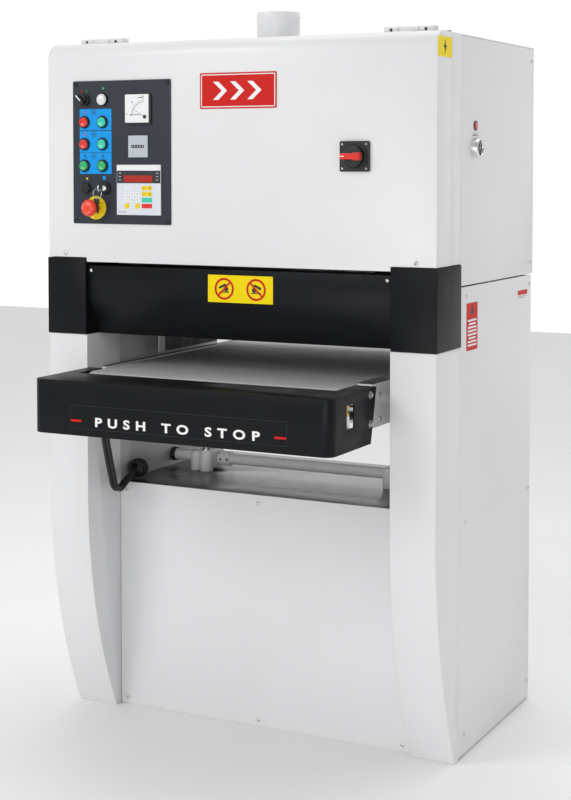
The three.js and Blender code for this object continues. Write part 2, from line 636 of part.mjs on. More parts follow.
function controlPanel() {
  const plate = box([-436, -160.5], [PANEL_FACE, -GAP], [1222, 1566]);
  const bezelAt = ([x, z]) => rod('y', BEZEL_R, [PANEL_FACE - 6, PANEL_FACE + 1], [x, z]);
  const boreAt = ([x, z]) => rod('y', BEZEL_BORE, [PANEL_FACE - 10, 5], [x, z]);
  const pushed = BUTTONS.map(([, , x, z]) => [x, z]);
  const turned = [[BUTTON_COLUMNS[0], BUTTON_ROWS.lamp], [KEY_X, BUTTON_ROWS.key]];
  const proud = (height) => [PANEL_FACE - height, PANEL_FACE + 1];
  const lamp = rod('y', 12, proud(14), [BUTTON_COLUMNS[1], BUTTON_ROWS.lamp]);
  const buzzer = rod('y', 13, proud(8), [BUTTON_COLUMNS[0] + 4, BUTTON_ROWS.key]);
  const hourMeter = box([-276, -222], proud(3), [1382, 1434]);
  const collar = rod('y', 29, proud(3), [ESTOP.x, ESTOP.z]);
  const solid = join(plate, ...[...pushed, ...turned].map(bezelAt), lamp, buzzer, hourMeter, collar);
  const stemBore = rod('y', 11.6, [PANEL_FACE - 10, 5], [ESTOP.x, ESTOP.z]);
  return cut(solid, ...[...pushed, ...turned].map(boreAt), stemBore);
}

function pushButton() {
  return rod('y', BUTTON_R, [-16, -4.4], [0, 0]);
}

function selectorKnob() {
  const stem = rod('y', BUTTON_R, [-17, -2], [0, 0]);
  const grip = box([-4.5, 4.5], [-27, -16], [-14, 14]);
  return join(stem, grip.rotateY(-Math.PI / 4));
}

function keySwitch() {
  const barrel = rod('y', BUTTON_R, [-13, -2], [0, 0]);
  const key = box([-1.5, 1.5], [-38, -12], [-9, 9]);
  return join(barrel, key);
}

function stopMushroom() {
  const dome = [[0, -46], [10, -45], [17, -41], [20.5, -35], [20.5, -31], [11, -29], [11, -7.5], [0, -7.5]];
  const points = dome.map(([r, y]) => new THREE.Vector2(r, y));
  return new THREE.LatheGeometry(points, 20);
}

function isolatorBase() {
  return box([-36, 36], [-11, -GAP], [-34, 34]);
}

function isolatorHandle() {
  const boss = rod('y', 25, [-21, -11 - GAP], [0, 0]);
  const grip = box([-24, 24], [-36, -20], [-7, 7]);
  return join(boss, grip);
}

function atDoor(name, finish, geometry, x, z) {
  return part(name, finish, geometry, [x, DOOR_FRONT, z]);
}

// ---- assembly ------------------------------------------------------------------------------------------
const base = group(
  part('base_cabinet', 'dark_steel', baseCabinet()),
  part('column_left', 'frame_paint', leftColumn()),
  part('column_right', 'frame_paint', rightColumn()),
  part('lower_front_panel', 'white_paint', box([-COLUMN_INNER, COLUMN_INNER],
    [BASE_FRONT, BASE_FRONT + SHEET], [0, DECK_TOP])),
  part('side_panel_left', 'white_paint', sidePanel(-1, [FLOOR_PLATE, SEAM_Z - 1], BASE_REAR)),
  part('side_panel_right', 'white_paint', sidePanel(1, [FLOOR_PLATE, SEAM_Z - 1], BASE_REAR)),
  part('leg_fairing_left', 'white_paint', legFairing(-1)),
  part('leg_fairing_right', 'white_paint', legFairing(1)),
  part('corner_cap_left', 'black_paint', cornerCap(-1)),
  part('corner_cap_right', 'black_paint', cornerCap(1)),
  part('front_hood', 'black_paint', frontHood()),
  part('cable_gland', 'black_plastic', join(
    rod('y', 17, [BASE_REAR + GAP, BASE_REAR + 9], [POWER_ENTRY.x, POWER_ENTRY.z], 6),
    rod('y', 13, [BASE_REAR + 8, BASE_REAR + 26], [POWER_ENTRY.x, POWER_ENTRY.z], 16))),
);

const UPPER_HEIGHT = [SEAM_Z + 2, HEAD_TOP - SHEET - GAP];
const upperSide = (side) => sidePanel(side, UPPER_HEIGHT, HEAD_REAR - SHEET - GAP);

const head = group(
  part('head_cabinet', 'white_paint', headCabinet()),
  part('head_side_panel', 'white_paint', upperSide(1)),
  part('side_door', 'white_paint', upperSide(-1)),
  part('head_beam', 'frame_paint', headBeam()),
  part('belt_lock_block', 'dark_steel', lockBlock()),
  part('contact_drum', 'rubber', contactDrum()),
  part('tension_roller', 'steel', tensionRoller()),
  part('tension_yoke', 'frame_paint', tensionYoke()),
  part('sanding_belt', 'abrasive', sandingBelt()),
  part('dust_chute', 'dark_steel', dustChute()),
  part('dust_port', 'white_paint', dustPort()),
  part('pressure_beam_front', 'dark_steel', pressureBeam(-PRESSURE_Y)),
  part('pressure_beam_rear', 'dark_steel', pressureBeam(PRESSURE_Y)),
  part('pressure_roller_front', 'steel', pressureRoller(-PRESSURE_Y)),
  part('pressure_roller_rear', 'steel', pressureRoller(PRESSURE_Y)),
  part('hinge_left', 'white_paint', hinge(-HINGE_X)),
  part('hinge_right', 'white_paint', hinge(HINGE_X)),
  part('tension_gauge', 'chrome',
    rod('x', 22.5, [HALF_WIDTH + GAP, HALF_WIDTH + 17], [GAUGE.y, GAUGE.z], 24)),
);

const drive = group(
  part('drive_motor', 'motor_paint', driveMotor()),
  part('motor_pulley', 'dark_steel', motorPulley()),
  part('drive_belt', 'rubber', driveBelt()),
);

const table = group(
  part('table_frame', 'frame_paint', tableFrame()),
  part('feed_belt', 'feed_belt', feedBelt()),
  part('feed_roller_front', 'steel', feedRoller(FEED_FRONT_Y)),
  part('feed_roller_rear', 'rubber', feedRoller(FEED_REAR_Y)),
  part('feed_gearmotor', 'motor_paint', feedGearmotor()),
  part('jack_screw_left', 'steel', jackScrew(-JACK_X)),
  part('jack_screw_right', 'steel', jackScrew(JACK_X)),
  part('stop_bar', 'black_paint', stopBar()),
  part('stop_cable', 'rubber', stopCable()),
);

const lift = group(
  part('jack_gearbox_left', 'steel', jackGearbox(-JACK_X)),
  part('jack_gearbox_right', 'steel', jackGearbox(JACK_X)),
  part('cross_shaft', 'steel', crossShaft()),
);

function instrument(half, height, proud) {
  return box([-half, half], [-proud, PANEL_FACE - GAP], [-height, height]);
}

const door = group(
  part('front_door', 'white_paint', frontDoor()),
  atDoor('control_panel', 'slate_paint', controlPanel(), 0, 0),
  ...BUTTONS.map(([name, finish, x, z]) => atDoor(name, finish, pushButton(), x, z)),
  atDoor('selector_knob', 'black_plastic', selectorKnob(), BUTTON_COLUMNS[0], BUTTON_ROWS.lamp),
  atDoor('key_switch', 'chrome', keySwitch(), KEY_X, BUTTON_ROWS.key),
  atDoor('emergency_stop_button', 'red_plastic', stopMushroom(), ESTOP.x, ESTOP.z),
  atDoor('ammeter', 'white_plastic', instrument(33.5, 34, 8.5), -250.5, 1498),
  atDoor('digital_controller', 'white_plastic', instrument(61.5, 60, 7), -247.5, 1304.5),
  atDoor('isolator_base', 'black_plastic', isolatorBase(), ISOLATOR.x, ISOLATOR.z),
  atDoor('isolator_handle', 'red_plastic', isolatorHandle(), ISOLATOR.x, ISOLATOR.z),
);

export default group(base, head, drive, table, lift, door);
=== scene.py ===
"""Looks of a floor-standing wide-belt sander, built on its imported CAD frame.

Metres, +Z up, the operator stands at -Y. Nearly every piece takes its place from the frame's nodes;
labels and small fittings that the CAD leaves out are placed by their own coordinates.
"""
import json
import math

import bmesh
import bpy
from mathutils import Matrix, Vector


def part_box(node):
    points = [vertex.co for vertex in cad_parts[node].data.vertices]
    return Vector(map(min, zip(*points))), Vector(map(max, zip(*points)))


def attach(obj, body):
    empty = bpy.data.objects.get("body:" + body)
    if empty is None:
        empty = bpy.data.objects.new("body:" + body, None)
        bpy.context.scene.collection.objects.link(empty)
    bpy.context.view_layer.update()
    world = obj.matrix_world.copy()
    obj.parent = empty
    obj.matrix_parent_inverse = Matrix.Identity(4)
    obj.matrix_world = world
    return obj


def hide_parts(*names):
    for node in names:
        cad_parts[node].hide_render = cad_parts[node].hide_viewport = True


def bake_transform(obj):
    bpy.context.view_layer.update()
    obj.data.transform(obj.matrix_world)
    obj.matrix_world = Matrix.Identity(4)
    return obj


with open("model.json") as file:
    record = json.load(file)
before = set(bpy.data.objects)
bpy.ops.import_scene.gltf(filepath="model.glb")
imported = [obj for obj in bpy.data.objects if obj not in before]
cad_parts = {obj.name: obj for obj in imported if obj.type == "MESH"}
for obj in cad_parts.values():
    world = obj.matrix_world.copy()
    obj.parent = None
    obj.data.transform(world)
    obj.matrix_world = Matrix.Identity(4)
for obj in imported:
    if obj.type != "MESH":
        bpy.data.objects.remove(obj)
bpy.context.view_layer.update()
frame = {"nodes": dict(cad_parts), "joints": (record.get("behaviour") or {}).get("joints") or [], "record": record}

MM = 0.001
LOW = {node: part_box(node)[0] for node in frame["nodes"]}
HIGH = {node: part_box(node)[1] for node in frame["nodes"]}
MID = {node: (LOW[node] + HIGH[node]) / 2 for node in frame["nodes"]}
BODY_OF = {node: body for body, nodes in frame["record"]["behaviour"]["bodies"].items() for node in nodes}
JOINT = {joint["name"]: joint for joint in frame["joints"]}

SIDES = {  # right and up, as seen from outside the machine
    "front": ((1, 0, 0), (0, 0, 1)),
    "back": ((-1, 0, 0), (0, 0, 1)),
    "right": ((0, 1, 0), (0, 0, 1)),
    "left": ((0, -1, 0), (0, 0, 1)),
    "top": ((1, 0, 0), (0, 1, 0)),
    "under": ((1, 0, 0), (0, -1, 0)),
}


# ---- camera, floor and light ---------------------------------------------------------------------
def make_camera():
    data = bpy.data.cameras.new("camera")
    data.lens = 72.7
    data.sensor_width = 36
    data.shift_y = -0.2
    camera = bpy.data.objects.new("camera", data)
    camera.location = (1.8095, -3.669, 1.364)
    camera.rotation_euler = (math.radians(90 - 2.66), 0, math.radians(27))
    bpy.context.scene.collection.objects.link(camera)
    bpy.context.scene.camera = camera


def make_floor():
    bm = bmesh.new()
    half = 9
    bm.faces.new([bm.verts.new((x, y, 0)) for x, y in
                  ((-half, -half), (half, -half), (half, half), both(half))])
    mesh = bpy.data.meshes.new("floor")
    bm.to_mesh(mesh)
    bm.free()
    floor = bpy.data.objects.new("floor", mesh)
    bpy.context.scene.collection.objects.link(floor)
    finish = material("floor_finish", None, (0.93, 0.93, 0.93), 0.6)
    vary(finish, "Roughness", grain(finish, 0.4), 0.5, 0.7)
    mesh.materials.append(finish)


def map_range(tree, source, before, after):
    """Carries a source from one range of numbers to another, through a node."""
    node = tree.nodes.new("ShaderNodeMapRange")
    for name, value in zip(("From Min", "From Max", "To Min", "To Max"), (*before, *after)):
        node.inputs[name].default_value = value
    tree.links.new(source, node.inputs["Value"])
    return node.outputs["Result"]


def area_light(name, place, target, size, power):
    data = bpy.data.lights.new(name, "AREA")
    data.shape = "RECTANGLE"
    data.size, data.size_y = size
    data.energy = power
    light = bpy.data.objects.new(name, data)
    light.location = place
    light.rotation_euler = (Vector(target) - Vector(place)).to_track_quat("-Z", "Y").to_euler()
    bpy.context.scene.collection.objects.link(light)


def make_lights():
    """Soft boxes, and a white world that is dimmer on the operator's side."""
    world = bpy.data.worlds.new("studio")
    world.use_nodes = True
    tree = world.node_tree
    background = tree.nodes["Background"]
    background.inputs["Color"].default_value = (1, 1, 1, 1)
    direction = tree.nodes.new("ShaderNodeTexCoord")
    split = tree.nodes.new("ShaderNodeSeparateXYZ")
    tree.links.new(direction.outputs["Generated"], split.inputs["Vector"])
    strength = map_range(tree, split.outputs["Y"], (-0.2, 0.5), (0.45, 1.03))
    tree.links.new(strength, background.inputs["Strength"])
    bpy.context.scene.world = world
    area_light("key", (-2.6, -4.2, 3.4), (0, -0.2, 0.9), (2.4, 2.4), 78)
    area_light("front_fill", (1.0, -5.0, 0.95), (0, 0, 0.7), (3.0, 1.6), 52)
    area_light("side_fill", (4.2, 0.6, 2.2), (0, 0, 0.9), (2.4, 2.4), 5)
    area_light("top", (0.2, 0.4, 4.2), (0, 0, 1.0), (2.6, 2.6), 30)
    bpy.context.scene.view_settings.view_transform = "Standard"


# ---- finishes: every one is procedural, at the real scale of its grain -----------------------------
def material(name, slot, colour, roughness, metallic=0.0, **more):
    """A Principled material. more holds further constant sockets, with _ for a space."""
    made = bpy.data.materials.new(name)
    made.use_nodes = True
    shader = made.node_tree.nodes["Principled BSDF"]
    shader.inputs["Base Color"].default_value = (*colour, 1)
    shader.inputs["Roughness"].default_value = roughness
    shader.inputs["Metallic"].default_value = metallic
    for socket, value in more.items():
        shader.inputs[socket.replace("_", " ")].default_value = value
    if slot:
        made["slot"] = slot
    return made


def object_metres(made, scale):
    """The piece's own coordinates, times a scale."""
    nodes = made.node_tree.nodes
    coordinates = nodes.new("ShaderNodeTexCoord")
    mapping = nodes.new("ShaderNodeMapping")
    mapping.inputs["Scale"].default_value = scale
    made.node_tree.links.new(coordinates.outputs["Object"], mapping.inputs["Vector"])
    return mapping.outputs["Vector"]


def grain(made, size, stretch=(1, 1, 1), detail=2.0):
    """Noise with features of that size in metres, longer by stretch along each axis."""
    noise = made.node_tree.nodes.new("ShaderNodeTexNoise")
    noise.inputs["Scale"].default_value = 1
    noise.inputs["Detail"].default_value = detail
    vector = object_metres(made, [1 / (size * s) for s in stretch])
    made.node_tree.links.new(vector, noise.inputs["Vector"])
    return noise.outputs["Fac"]


def pimples(made, size, disorder=1.0):
    """Small round cells of that size in metres, in a regular grid when disorder is 0."""
    cells = made.node_tree.nodes.new("ShaderNodeTexVoronoi")
    cells.inputs["Scale"].default_value = 1
    cells.inputs["Randomness"].default_value = disorder
    made.node_tree.links.new(object_metres(made, [1 / size] * 3), cells.inputs["Vector"])
    return cells.outputs["Distance"]


def vary(made, socket, source, low, high, start=0.35, end=0.65):
    """Runs a socket from low to high, numbers or colours, as the source goes from start to end."""
    tree = made.node_tree
    if isinstance(low, tuple):
        ramp = tree.nodes.new("ShaderNodeValToRGB")
        for stop, position, colour in zip(ramp.color_ramp.elements, (start, end), (low, high)):
            stop.position = position
            stop.color = (*colour, 1)
        tree.links.new(source, ramp.inputs["Fac"])
        result = ramp.outputs["Color"]
    else:
        result = map_range(tree, source, (start, end), (low, high))
    tree.links.new(result, tree.nodes["Principled BSDF"].inputs[socket])


def emboss(made, source, depth, strength=1.0):
    """Adds a bump of that depth in metres over the bumps already there."""
    tree = made.node_tree
    bump = tree.nodes.new("ShaderNodeBump")
    bump.inputs["Strength"].default_value = strength
    bump.inputs["Distance"].default_value = depth
    tree.links.new(source, bump.inputs["Height"])
    normal = tree.nodes["Principled BSDF"].inputs["Normal"]
    if normal.is_linked:
        tree.links.new(normal.links[0].from_socket, bump.inputs["Normal"])
    tree.links.new(bump.outputs["Normal"], normal)


def tint(colour, factor):
    return tuple(c * factor for c in colour)


def paint(name, slot, colour, roughness, specular=0.5, peel=0.00003, soiled=0.97):
    """Powder coat: orange peel, slow waves in the sheet, and gloss and tone that drift a little."""
    made = material(name, slot, colour, roughness, Specular_IOR_Level=specular)
    vary(made, "Base Color", grain(made, 0.35, detail=4), tint(colour, soiled), colour)
    vary(made, "Roughness", grain(made, 0.09, detail=4), roughness - 0.04, roughness + 0.05)
    emboss(made, grain(made, 0.11), 0.00035)
    emboss(made, grain(made, 0.0014), peel)
    return made


def brushed(name, slot, colour, roughness, along, metallic=1.0):
    """Drawn or turned metal: fine scratches that run along one axis."""
    made = material(name, slot, colour, roughness, metallic)
    stretch = [60 if axis == along else 1 for axis in "xyz"]
    vary(made, "Base Color", grain(made, 0.06, detail=4), tint(colour, 0.88), colour)
    vary(made, "Roughness", grain(made, 0.0009, stretch), roughness - 0.06, roughness + 0.1)
    emboss(made, grain(made, 0.0006, stretch), 0.00002)
    return made


def plastic(name, slot, colour, roughness, texture=0.0, **more):
    """Moulded plastic with a faint spark-eroded texture."""
    made = material(name, slot, colour, roughness, **more)
    vary(made, "Roughness", grain(made, 0.012, detail=3), roughness - 0.03, roughness + 0.06)
    emboss(made, grain(made, 0.0005), 0.000012 + texture)
    return made


def rubber(name, slot, colour, roughness=0.75):
    """Dull rubber with a fine grain, paler where it is worn."""
    made = material(name, slot, colour, roughness)
    vary(made, "Base Color", grain(made, 0.03, detail=4), tint(colour, 0.8), tint(colour, 1.25))
    vary(made, "Roughness", grain(made, 0.02, detail=3), roughness - 0.12, roughness + 0.08)
    emboss(made, grain(made, 0.0007), 0.00005)
    return made


def conveyor():
    """Rough-top belt: rows of small knobs, a little dirty in patches."""
    colour = (0.60, 0.605, 0.60)
    made = material("rough_top_belt", "feed_belt", colour, 0.8)
    knobs = pimples(made, 0.0062, 0.25)
    vary(made, "Base Color", knobs, tint(colour, 1.12), tint(colour, 0.72), 0.15, 0.6)
    emboss(made, knobs, 0.0009)
    emboss(made, grain(made, 0.0008), 0.0001)
    vary(made, "Roughness", grain(made, 0.05, detail=4), 0.7, 0.9)
    return made


def abrasive():
    """Coated abrasive: sharp grit over a brown resin."""
    made = material("abrasive_cloth", "abrasive", (0.23, 0.085, 0.04), 0.85)
    grit = pimples(made, 0.0007)
    vary(made, "Base Color", grit, (0.34, 0.15, 0.08), (0.12, 0.04, 0.02), 0.1, 0.6)
    emboss(made, grit, 0.0003)
    vary(made, "Roughness", grain(made, 0.003), 0.75, 0.95)
    return made


WHITE = paint("white_coat", "white_paint", (0.765, 0.77, 0.78), 0.33)
CHARCOAL = paint("charcoal_coat", "black_paint", (0.0062, 0.0072, 0.0090), 0.4, specular=0.14, soiled=0.85)
TABLE_GREY = paint("table_enamel", "frame_paint", (0.72, 0.725, 0.73), 0.4, soiled=0.95)
# Columns, head beam and yoke: the white enamel darkened to grey as painted shade for walls that stand in shade
FRAME_PAINTED_SHADE = paint("frame_enamel_painted_shade", "frame_paint", (0.52, 0.525, 0.525), 0.42, soiled=0.93)
MOTOR_BLUE = paint("motor_enamel", "motor_paint", (0.08, 0.12, 0.17), 0.4, soiled=0.85)
SLATE = paint("slate_plate", "slate_paint", (0.024, 0.032, 0.043), 0.45,
              specular=0.3, peel=0.00001, soiled=0.93)
DECK = brushed("deck_steel", "dark_steel", (0.21, 0.21, 0.215), 0.28, "x")
DARK_STEEL = brushed("oiled_steel", "dark_steel", (0.17, 0.175, 0.18), 0.38, "x")
GALVANISED = brushed("galvanised_sheet", "dark_steel", (0.42, 0.43, 0.44), 0.42, "z")
STEEL = brushed("turned_steel", "steel", (0.56, 0.57, 0.58), 0.26, "x")
SCREW_STEEL = brushed("screw_steel", "steel", (0.62, 0.63, 0.64), 0.24, "z")
CASTING = paint("cast_enamel", "steel", (0.78, 0.785, 0.78), 0.4, peel=0.00012, soiled=0.9)
CHROME = brushed("chrome_plate", "chrome", (0.82, 0.83, 0.84), 0.1, "z")
BRASS = brushed("brass_bar", "brass", (0.70, 0.45, 0.16), 0.25, "x")
DRUM_RUBBER = rubber("ground_rubber", "drum_rubber", (0.03, 0.031, 0.032))
BLACK_RUBBER = rubber("black_rubber_skin", "black_rubber", (0.005, 0.005, 0.006), 0.6)
BLACK = plastic("black_moulding", "black_plastic", (0.010, 0.010, 0.011), 0.36)
WHITE_PLASTIC = plastic("white_moulding", "white_plastic", (0.80, 0.82, 0.83), 0.32)
PALE = plastic("pale_keypad", "white_plastic", (0.68, 0.72, 0.78), 0.42)
GREY_PLASTIC = plastic("grey_moulding", "white_plastic", (0.46, 0.50, 0.55), 0.4)
MUSHROOM = plastic("mushroom_red", "red_plastic", (0.85, 0.055, 0.022), 0.3)
RED = plastic("red_moulding", "red_plastic", (0.72, 0.024, 0.014), 0.24, Coat_Weight=0.4)
GREEN = plastic("green_lens", "green_plastic", (0.02, 0.42, 0.13), 0.22, Coat_Weight=0.4)
AQUA = plastic("aqua_lens", "green_plastic", (0.03, 0.60, 0.42), 0.22, Coat_Weight=0.4)
YELLOW = plastic("yellow_moulding", "yellow_plastic", (0.82, 0.62, 0.008), 0.3)
BLUE = plastic("blue_plate", "blue_film", (0.004, 0.31, 0.79), 0.4, Specular_IOR_Level=0.2)
DISPLAY = plastic("display_window", "red_plastic", (0.42, 0.022, 0.012), 0.2)
LAMP = plastic("lamp_lens", "white_plastic", (0.72, 0.73, 0.72), 0.14, Coat_Weight=0.6)
LABEL_RED = plastic("label_red", "red_plastic", (0.58, 0.014, 0.010), 0.45, Specular_IOR_Level=0.15)
LABEL_YELLOW = plastic("label_yellow", "yellow_plastic", (0.90, 0.70, 0.002), 0.45, Specular_IOR_Level=0.15)
LABEL_WHITE = plastic("label_white", "white_plastic", (0.82, 0.82, 0.82), 0.42)
INK = plastic("dark_ink", "black_plastic", (0.016, 0.018, 0.022), 0.5)
CONVEYOR = conveyor()
ABRASIVE = abrasive()


# ---- mesh tools: a place is a matrix with u to the right, v up and w out of a surface ----------------
def facing(side, x, y, z):
    """A place on one of the SIDES of the machine."""
    right, up = (Vector(axis) for axis in SIDES[side])
    place = Matrix((right, up, right.cross(up))).transposed().to_4x4()
    place.translation = (x, y, z)
    return place


def shifted(place, u, v, w=0.0, turn=0.0):
    """A place moved in its own directions, then turned by degrees about its w."""
    return place @ Matrix.Translation((u, v, w)) @ Matrix.Rotation(math.radians(turn), 4, "Z")


def both(half):
    return -half, half


def corners(place, half_u, half_v, w=0.0):
    """Places at the four corners of a rectangle round a place."""
    return [shifted(place, u, v, w) for u in both(half_u) for v in both(half_v)]


def circle_of(place, radius, count, w=0.0, first=0.0):
    """Places spaced evenly on a circle round a place. first is in steps."""
    angles = [math.tau * (k + first) / count for k in range(count)]
    return [shifted(place, radius * math.cos(a), radius * math.sin(a), w) for a in angles]


def arc(centre, radius, start, end, steps):
    angles = [math.radians(start + (end - start) * i / steps) for i in range(steps + 1)]
    return [(centre[0] + radius * math.cos(a), centre[1] + radius * math.sin(a)) for a in angles]


def rounded(u, v, corner, steps=5):
    """Outline of a rectangle with rounded corners."""
    if not corner:
        return [(u[0], v[0]), (u[1], v[0]), (u[1], v[1]), (u[0], v[1])]
    centres = [(u[1] - corner, v[0] + corner), (u[1] - corner, v[1] - corner),
               (u[0] + corner, v[1] - corner), (u[0] + corner, v[0] + corner)]
    return [point for k, centre in enumerate(centres)
            for point in arc(centre, corner, 90 * k - 90, 90 * k, steps)]


def prism(bm, place, outline, w0, w1):
    """A solid with a flat outline of (u, v) points, from w0 to w1."""
    back, front = ([bm.verts.new(place @ Vector((u, v, w))) for u, v in outline] for w in (w0, w1))
    bm.faces.new(back[::-1])
    bm.faces.new(front)
    for i, k in enumerate(range(-1, len(outline) - 1)):
        bm.faces.new((back[k], back[i], front[i], front[k]))


def slab(bm, place, u, v, w, corner=0.0):
    prism(bm, place, rounded(u, v, corner), *w)


def lathe(bm, place, profile, steps=40, ring=False):
    """A round solid about w. The profile is (radius, w) pairs; a ring's profile closes on itself."""
    rows = []
    for radius, w in profile:
        around = [math.tau * k / steps for k in range(steps)] if radius else [0.0]
        rows.append([bm.verts.new(place @ Vector((radius * math.cos(a), radius * math.sin(a), w)))
                     for a in around])
    for low, high in zip(rows, rows[1:] + (rows[:1] if ring else [])):
        for k in range(steps):
            corners = [low[k % len(low)], low[(k + 1) % steps % len(low)],
                       high[(k + 1) % steps % len(high)], high[k % len(high)]]
            bm.faces.new(list(dict.fromkeys(corners)))


def disc(bm, place, radius, w0, w1, edge=0.0, steps=40):
    """A short cylinder with its front edge rounded over."""
    rim = [(radius - edge + edge * math.cos(a), w1 - edge + edge * math.sin(a))
           for a in (math.pi / 2 * k / 4 for k in range(5))] if edge else [(radius, w1)]
    lathe(bm, place, [(0, w0), (radius, w0), *rim, (0, w1)], steps)


def hoop(bm, place, inner, outer, w0, w1, steps=40):
    lathe(bm, place, [(outer, w0), (outer, w1), (inner, w1), (inner, w0)], steps, ring=True)


def torus(bm, place, radius, thick, steps=32, sides=10):
    profile = [(radius + thick * math.cos(a), thick * math.sin(a))
               for a in (math.tau * k / sides for k in range(sides))]
    lathe(bm, place, profile, steps, ring=True)


def tube(bm, points, radius, sides=16):
    """A round bar along points, closed at both ends, with one radius or a list of them."""
    ahead = [(b - a).normalized() for a, b in zip([points[0], *points], [*points[1:], points[-1]])]
    radii = radius if isinstance(radius, list) else [radius] * len(points)
    side = ahead[0].orthogonal().normalized()
    rows = []
    for point, forward, reach in zip(points, ahead, radii):
        side = (side - forward * side.dot(forward)).normalized()
        up = forward.cross(side)
        rows.append([bm.verts.new(point + (side * math.cos(a) + up * math.sin(a)) * reach)
                     for a in (math.tau * k / sides for k in range(sides))])
    for low, high in zip(rows, rows[1:]):
        for k in range(sides):
            bm.faces.new((low[k - 1], low[k], high[k], high[k - 1]))
    bm.faces.new(rows[0][::-1])
    bm.faces.new(rows[-1])


def endless(bm, path, section):
    """A belt. Its section is (x, height) pairs, and path(height) gives (y, z) points all round."""
    rows = [[bm.verts.new((x, y, z)) for y, z in path(height)] for x, height in section]
    for low, high in zip(rows, rows[1:] + rows[:1]):
        for k in range(len(low)):
            bm.faces.new((low[k - 1], low[k], high[k], high[k - 1]))


def around_two(first, second, height, steps=28):
    """A closed path round two rollers, each (y, z, radius), at a height over them."""
    run = Vector(second[:2]) - Vector(first[:2])
    heading = math.degrees(math.atan2(run.y, run.x))
    spread = math.degrees(math.acos((first[2] - second[2]) / run.length))
    return (arc(second[:2], second[2] + height, heading - spread, heading + spread, steps)
            + arc(first[:2], first[2] + height, heading + spread, heading + 360 - spread, steps))


CAP_SHARE = 0.7  # height of a capital in the built-in font, as a share of its size


def lettering(bm, place, words, height, depth, weight=0.0, spacing=1.0, width=1.0):
    """Raised letters, centred on a place, drawn out by width."""
    curve = bpy.data.curves.new("words", "FONT")
    curve.body = words
    curve.size = height / CAP_SHARE
    curve.align_x, curve.align_y = "CENTER", "CENTER"
    curve.extrude = depth / 2
    curve.offset = weight
    curve.space_character = spacing
    curve.resolution_u = 4
    holder = bpy.data.objects.new("words", curve)
    bpy.context.scene.collection.objects.link(holder)
    bpy.context.view_layer.update()
    mesh = bpy.data.meshes.new_from_object(holder.evaluated_get(bpy.context.evaluated_depsgraph_get()))
    mesh.transform(place @ Matrix.Translation((0, 0, depth / 2)) @ Matrix.Diagonal((width, 1, 1, 1)))
    bm.from_mesh(mesh)
    bpy.data.objects.remove(holder)
    bpy.data.meshes.remove(mesh)


def piece(name, bm, finish, body, replaces=(), bevel=0.0, smooth=35):
    """Turns a bmesh into a shown piece. It rides on a body, unless that is None."""
    bmesh.ops.recalc_face_normals(bm, faces=bm.faces)
    mesh = bpy.data.meshes.new(name)
    bm.to_mesh(mesh)
    bm.free()
    mesh.materials.append(finish)
    mesh.shade_smooth()
    made = bpy.data.objects.new(name, mesh)
    bpy.context.scene.collection.objects.link(made)
    if bevel:
        modifier = made.modifiers.new("broken_edges", "BEVEL")
        modifier.width = bevel
        modifier.segments = 2
        modifier.limit_method = "ANGLE"
        modifier.angle_limit = math.radians(smooth)
        modifier.use_clamp_overlap = False
        modifier.harden_normals = True
    else:
        mesh.set_sharp_from_angle(angle=math.radians(smooth))
    if body:
        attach(made, body)
    if replaces:
        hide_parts(*replaces)
    return made


def build(name, finish, body, makers, replaces=(), bevel=0.0, smooth=35):
    """A piece from a list of (tool, arguments) on one mesh."""
    bm = bmesh.new()
    for tool, *arguments in makers:
        tool(bm, *arguments)
    return piece(name, bm, finish, body, replaces, bevel, smooth)


def plate(name, finish, body, place, half_u, half_v, w, corner=0.0, replaces=(), bevel=0.0):
    """A piece that is one flat plate, centred on a place."""
    return build(name, finish, body, [(slab, place, both(half_u), both(half_v), w, corner)], replaces, bevel)


def spun(name, finish, body, place, profile, steps=48, ring=False, replaces=(), bevel=0.0, smooth=35):
    """A piece that is one round solid about a place's w."""
    return build(name, finish, body, [(lathe, place, profile, steps, ring)], replaces, bevel, smooth)


def refine(node, finish, bevel=0.001, smooth=35):
    """A CAD node again, with whole flat faces, smooth rounds and broken edges."""
    bm = bmesh.new()
    bm.from_mesh(frame["nodes"][node].data)
    bmesh.ops.remove_doubles(bm, verts=bm.verts, dist=0.00002)
    bmesh.ops.dissolve_limit(bm, angle_limit=math.radians(0.4), verts=bm.verts, edges=bm.edges)
    return piece(node + "_shell", bm, finish, BODY_OF[node], [node], bevel, smooth)


# ---- the stop bar's cable ------------------------------------------------------------------------
CABLE_R = 5.5 * MM
STRAND = 5.6 * MM  # each of the cable's two strands, from the middle
CABLE_ROUTE = [  # in millimetres, as in the CAD model, from the table to the left column
    (-353, -402, 768), (-352, -401, 742), (-351, -396, 716), (-352, -388, 688), (-354, -377, 660),
    (-356, -366, 632), (-357, -355, 605), (-359, -344, 579), (-360, -333, 567), (-361, -320, 562),
    (-362, -308, 564), (-363, -290, 573), (-365, -268, 582), (-368, -244, 589), (-373, -222, 593),
    (-383, -204, 594), (-396, -196, 594), (-412, -196, 594),
]


def smooth_line(points, steps):
    """Catmull-Rom line through points."""
    ends = [2 * points[0] - points[1], *points, 2 * points[-1] - points[-2]]
    line = [points[0]]
    for a, b, c, d in zip(ends, ends[1:], ends[2:], ends[3:]):
        for t in (k / steps for k in range(1, steps + 1)):
            line.append(0.5 * (2 * b + (c - a) * t + (2 * a - 5 * b + 4 * c - d) * t * t
                               + (3 * b - a - 3 * c + d) * t ** 3))
    return line


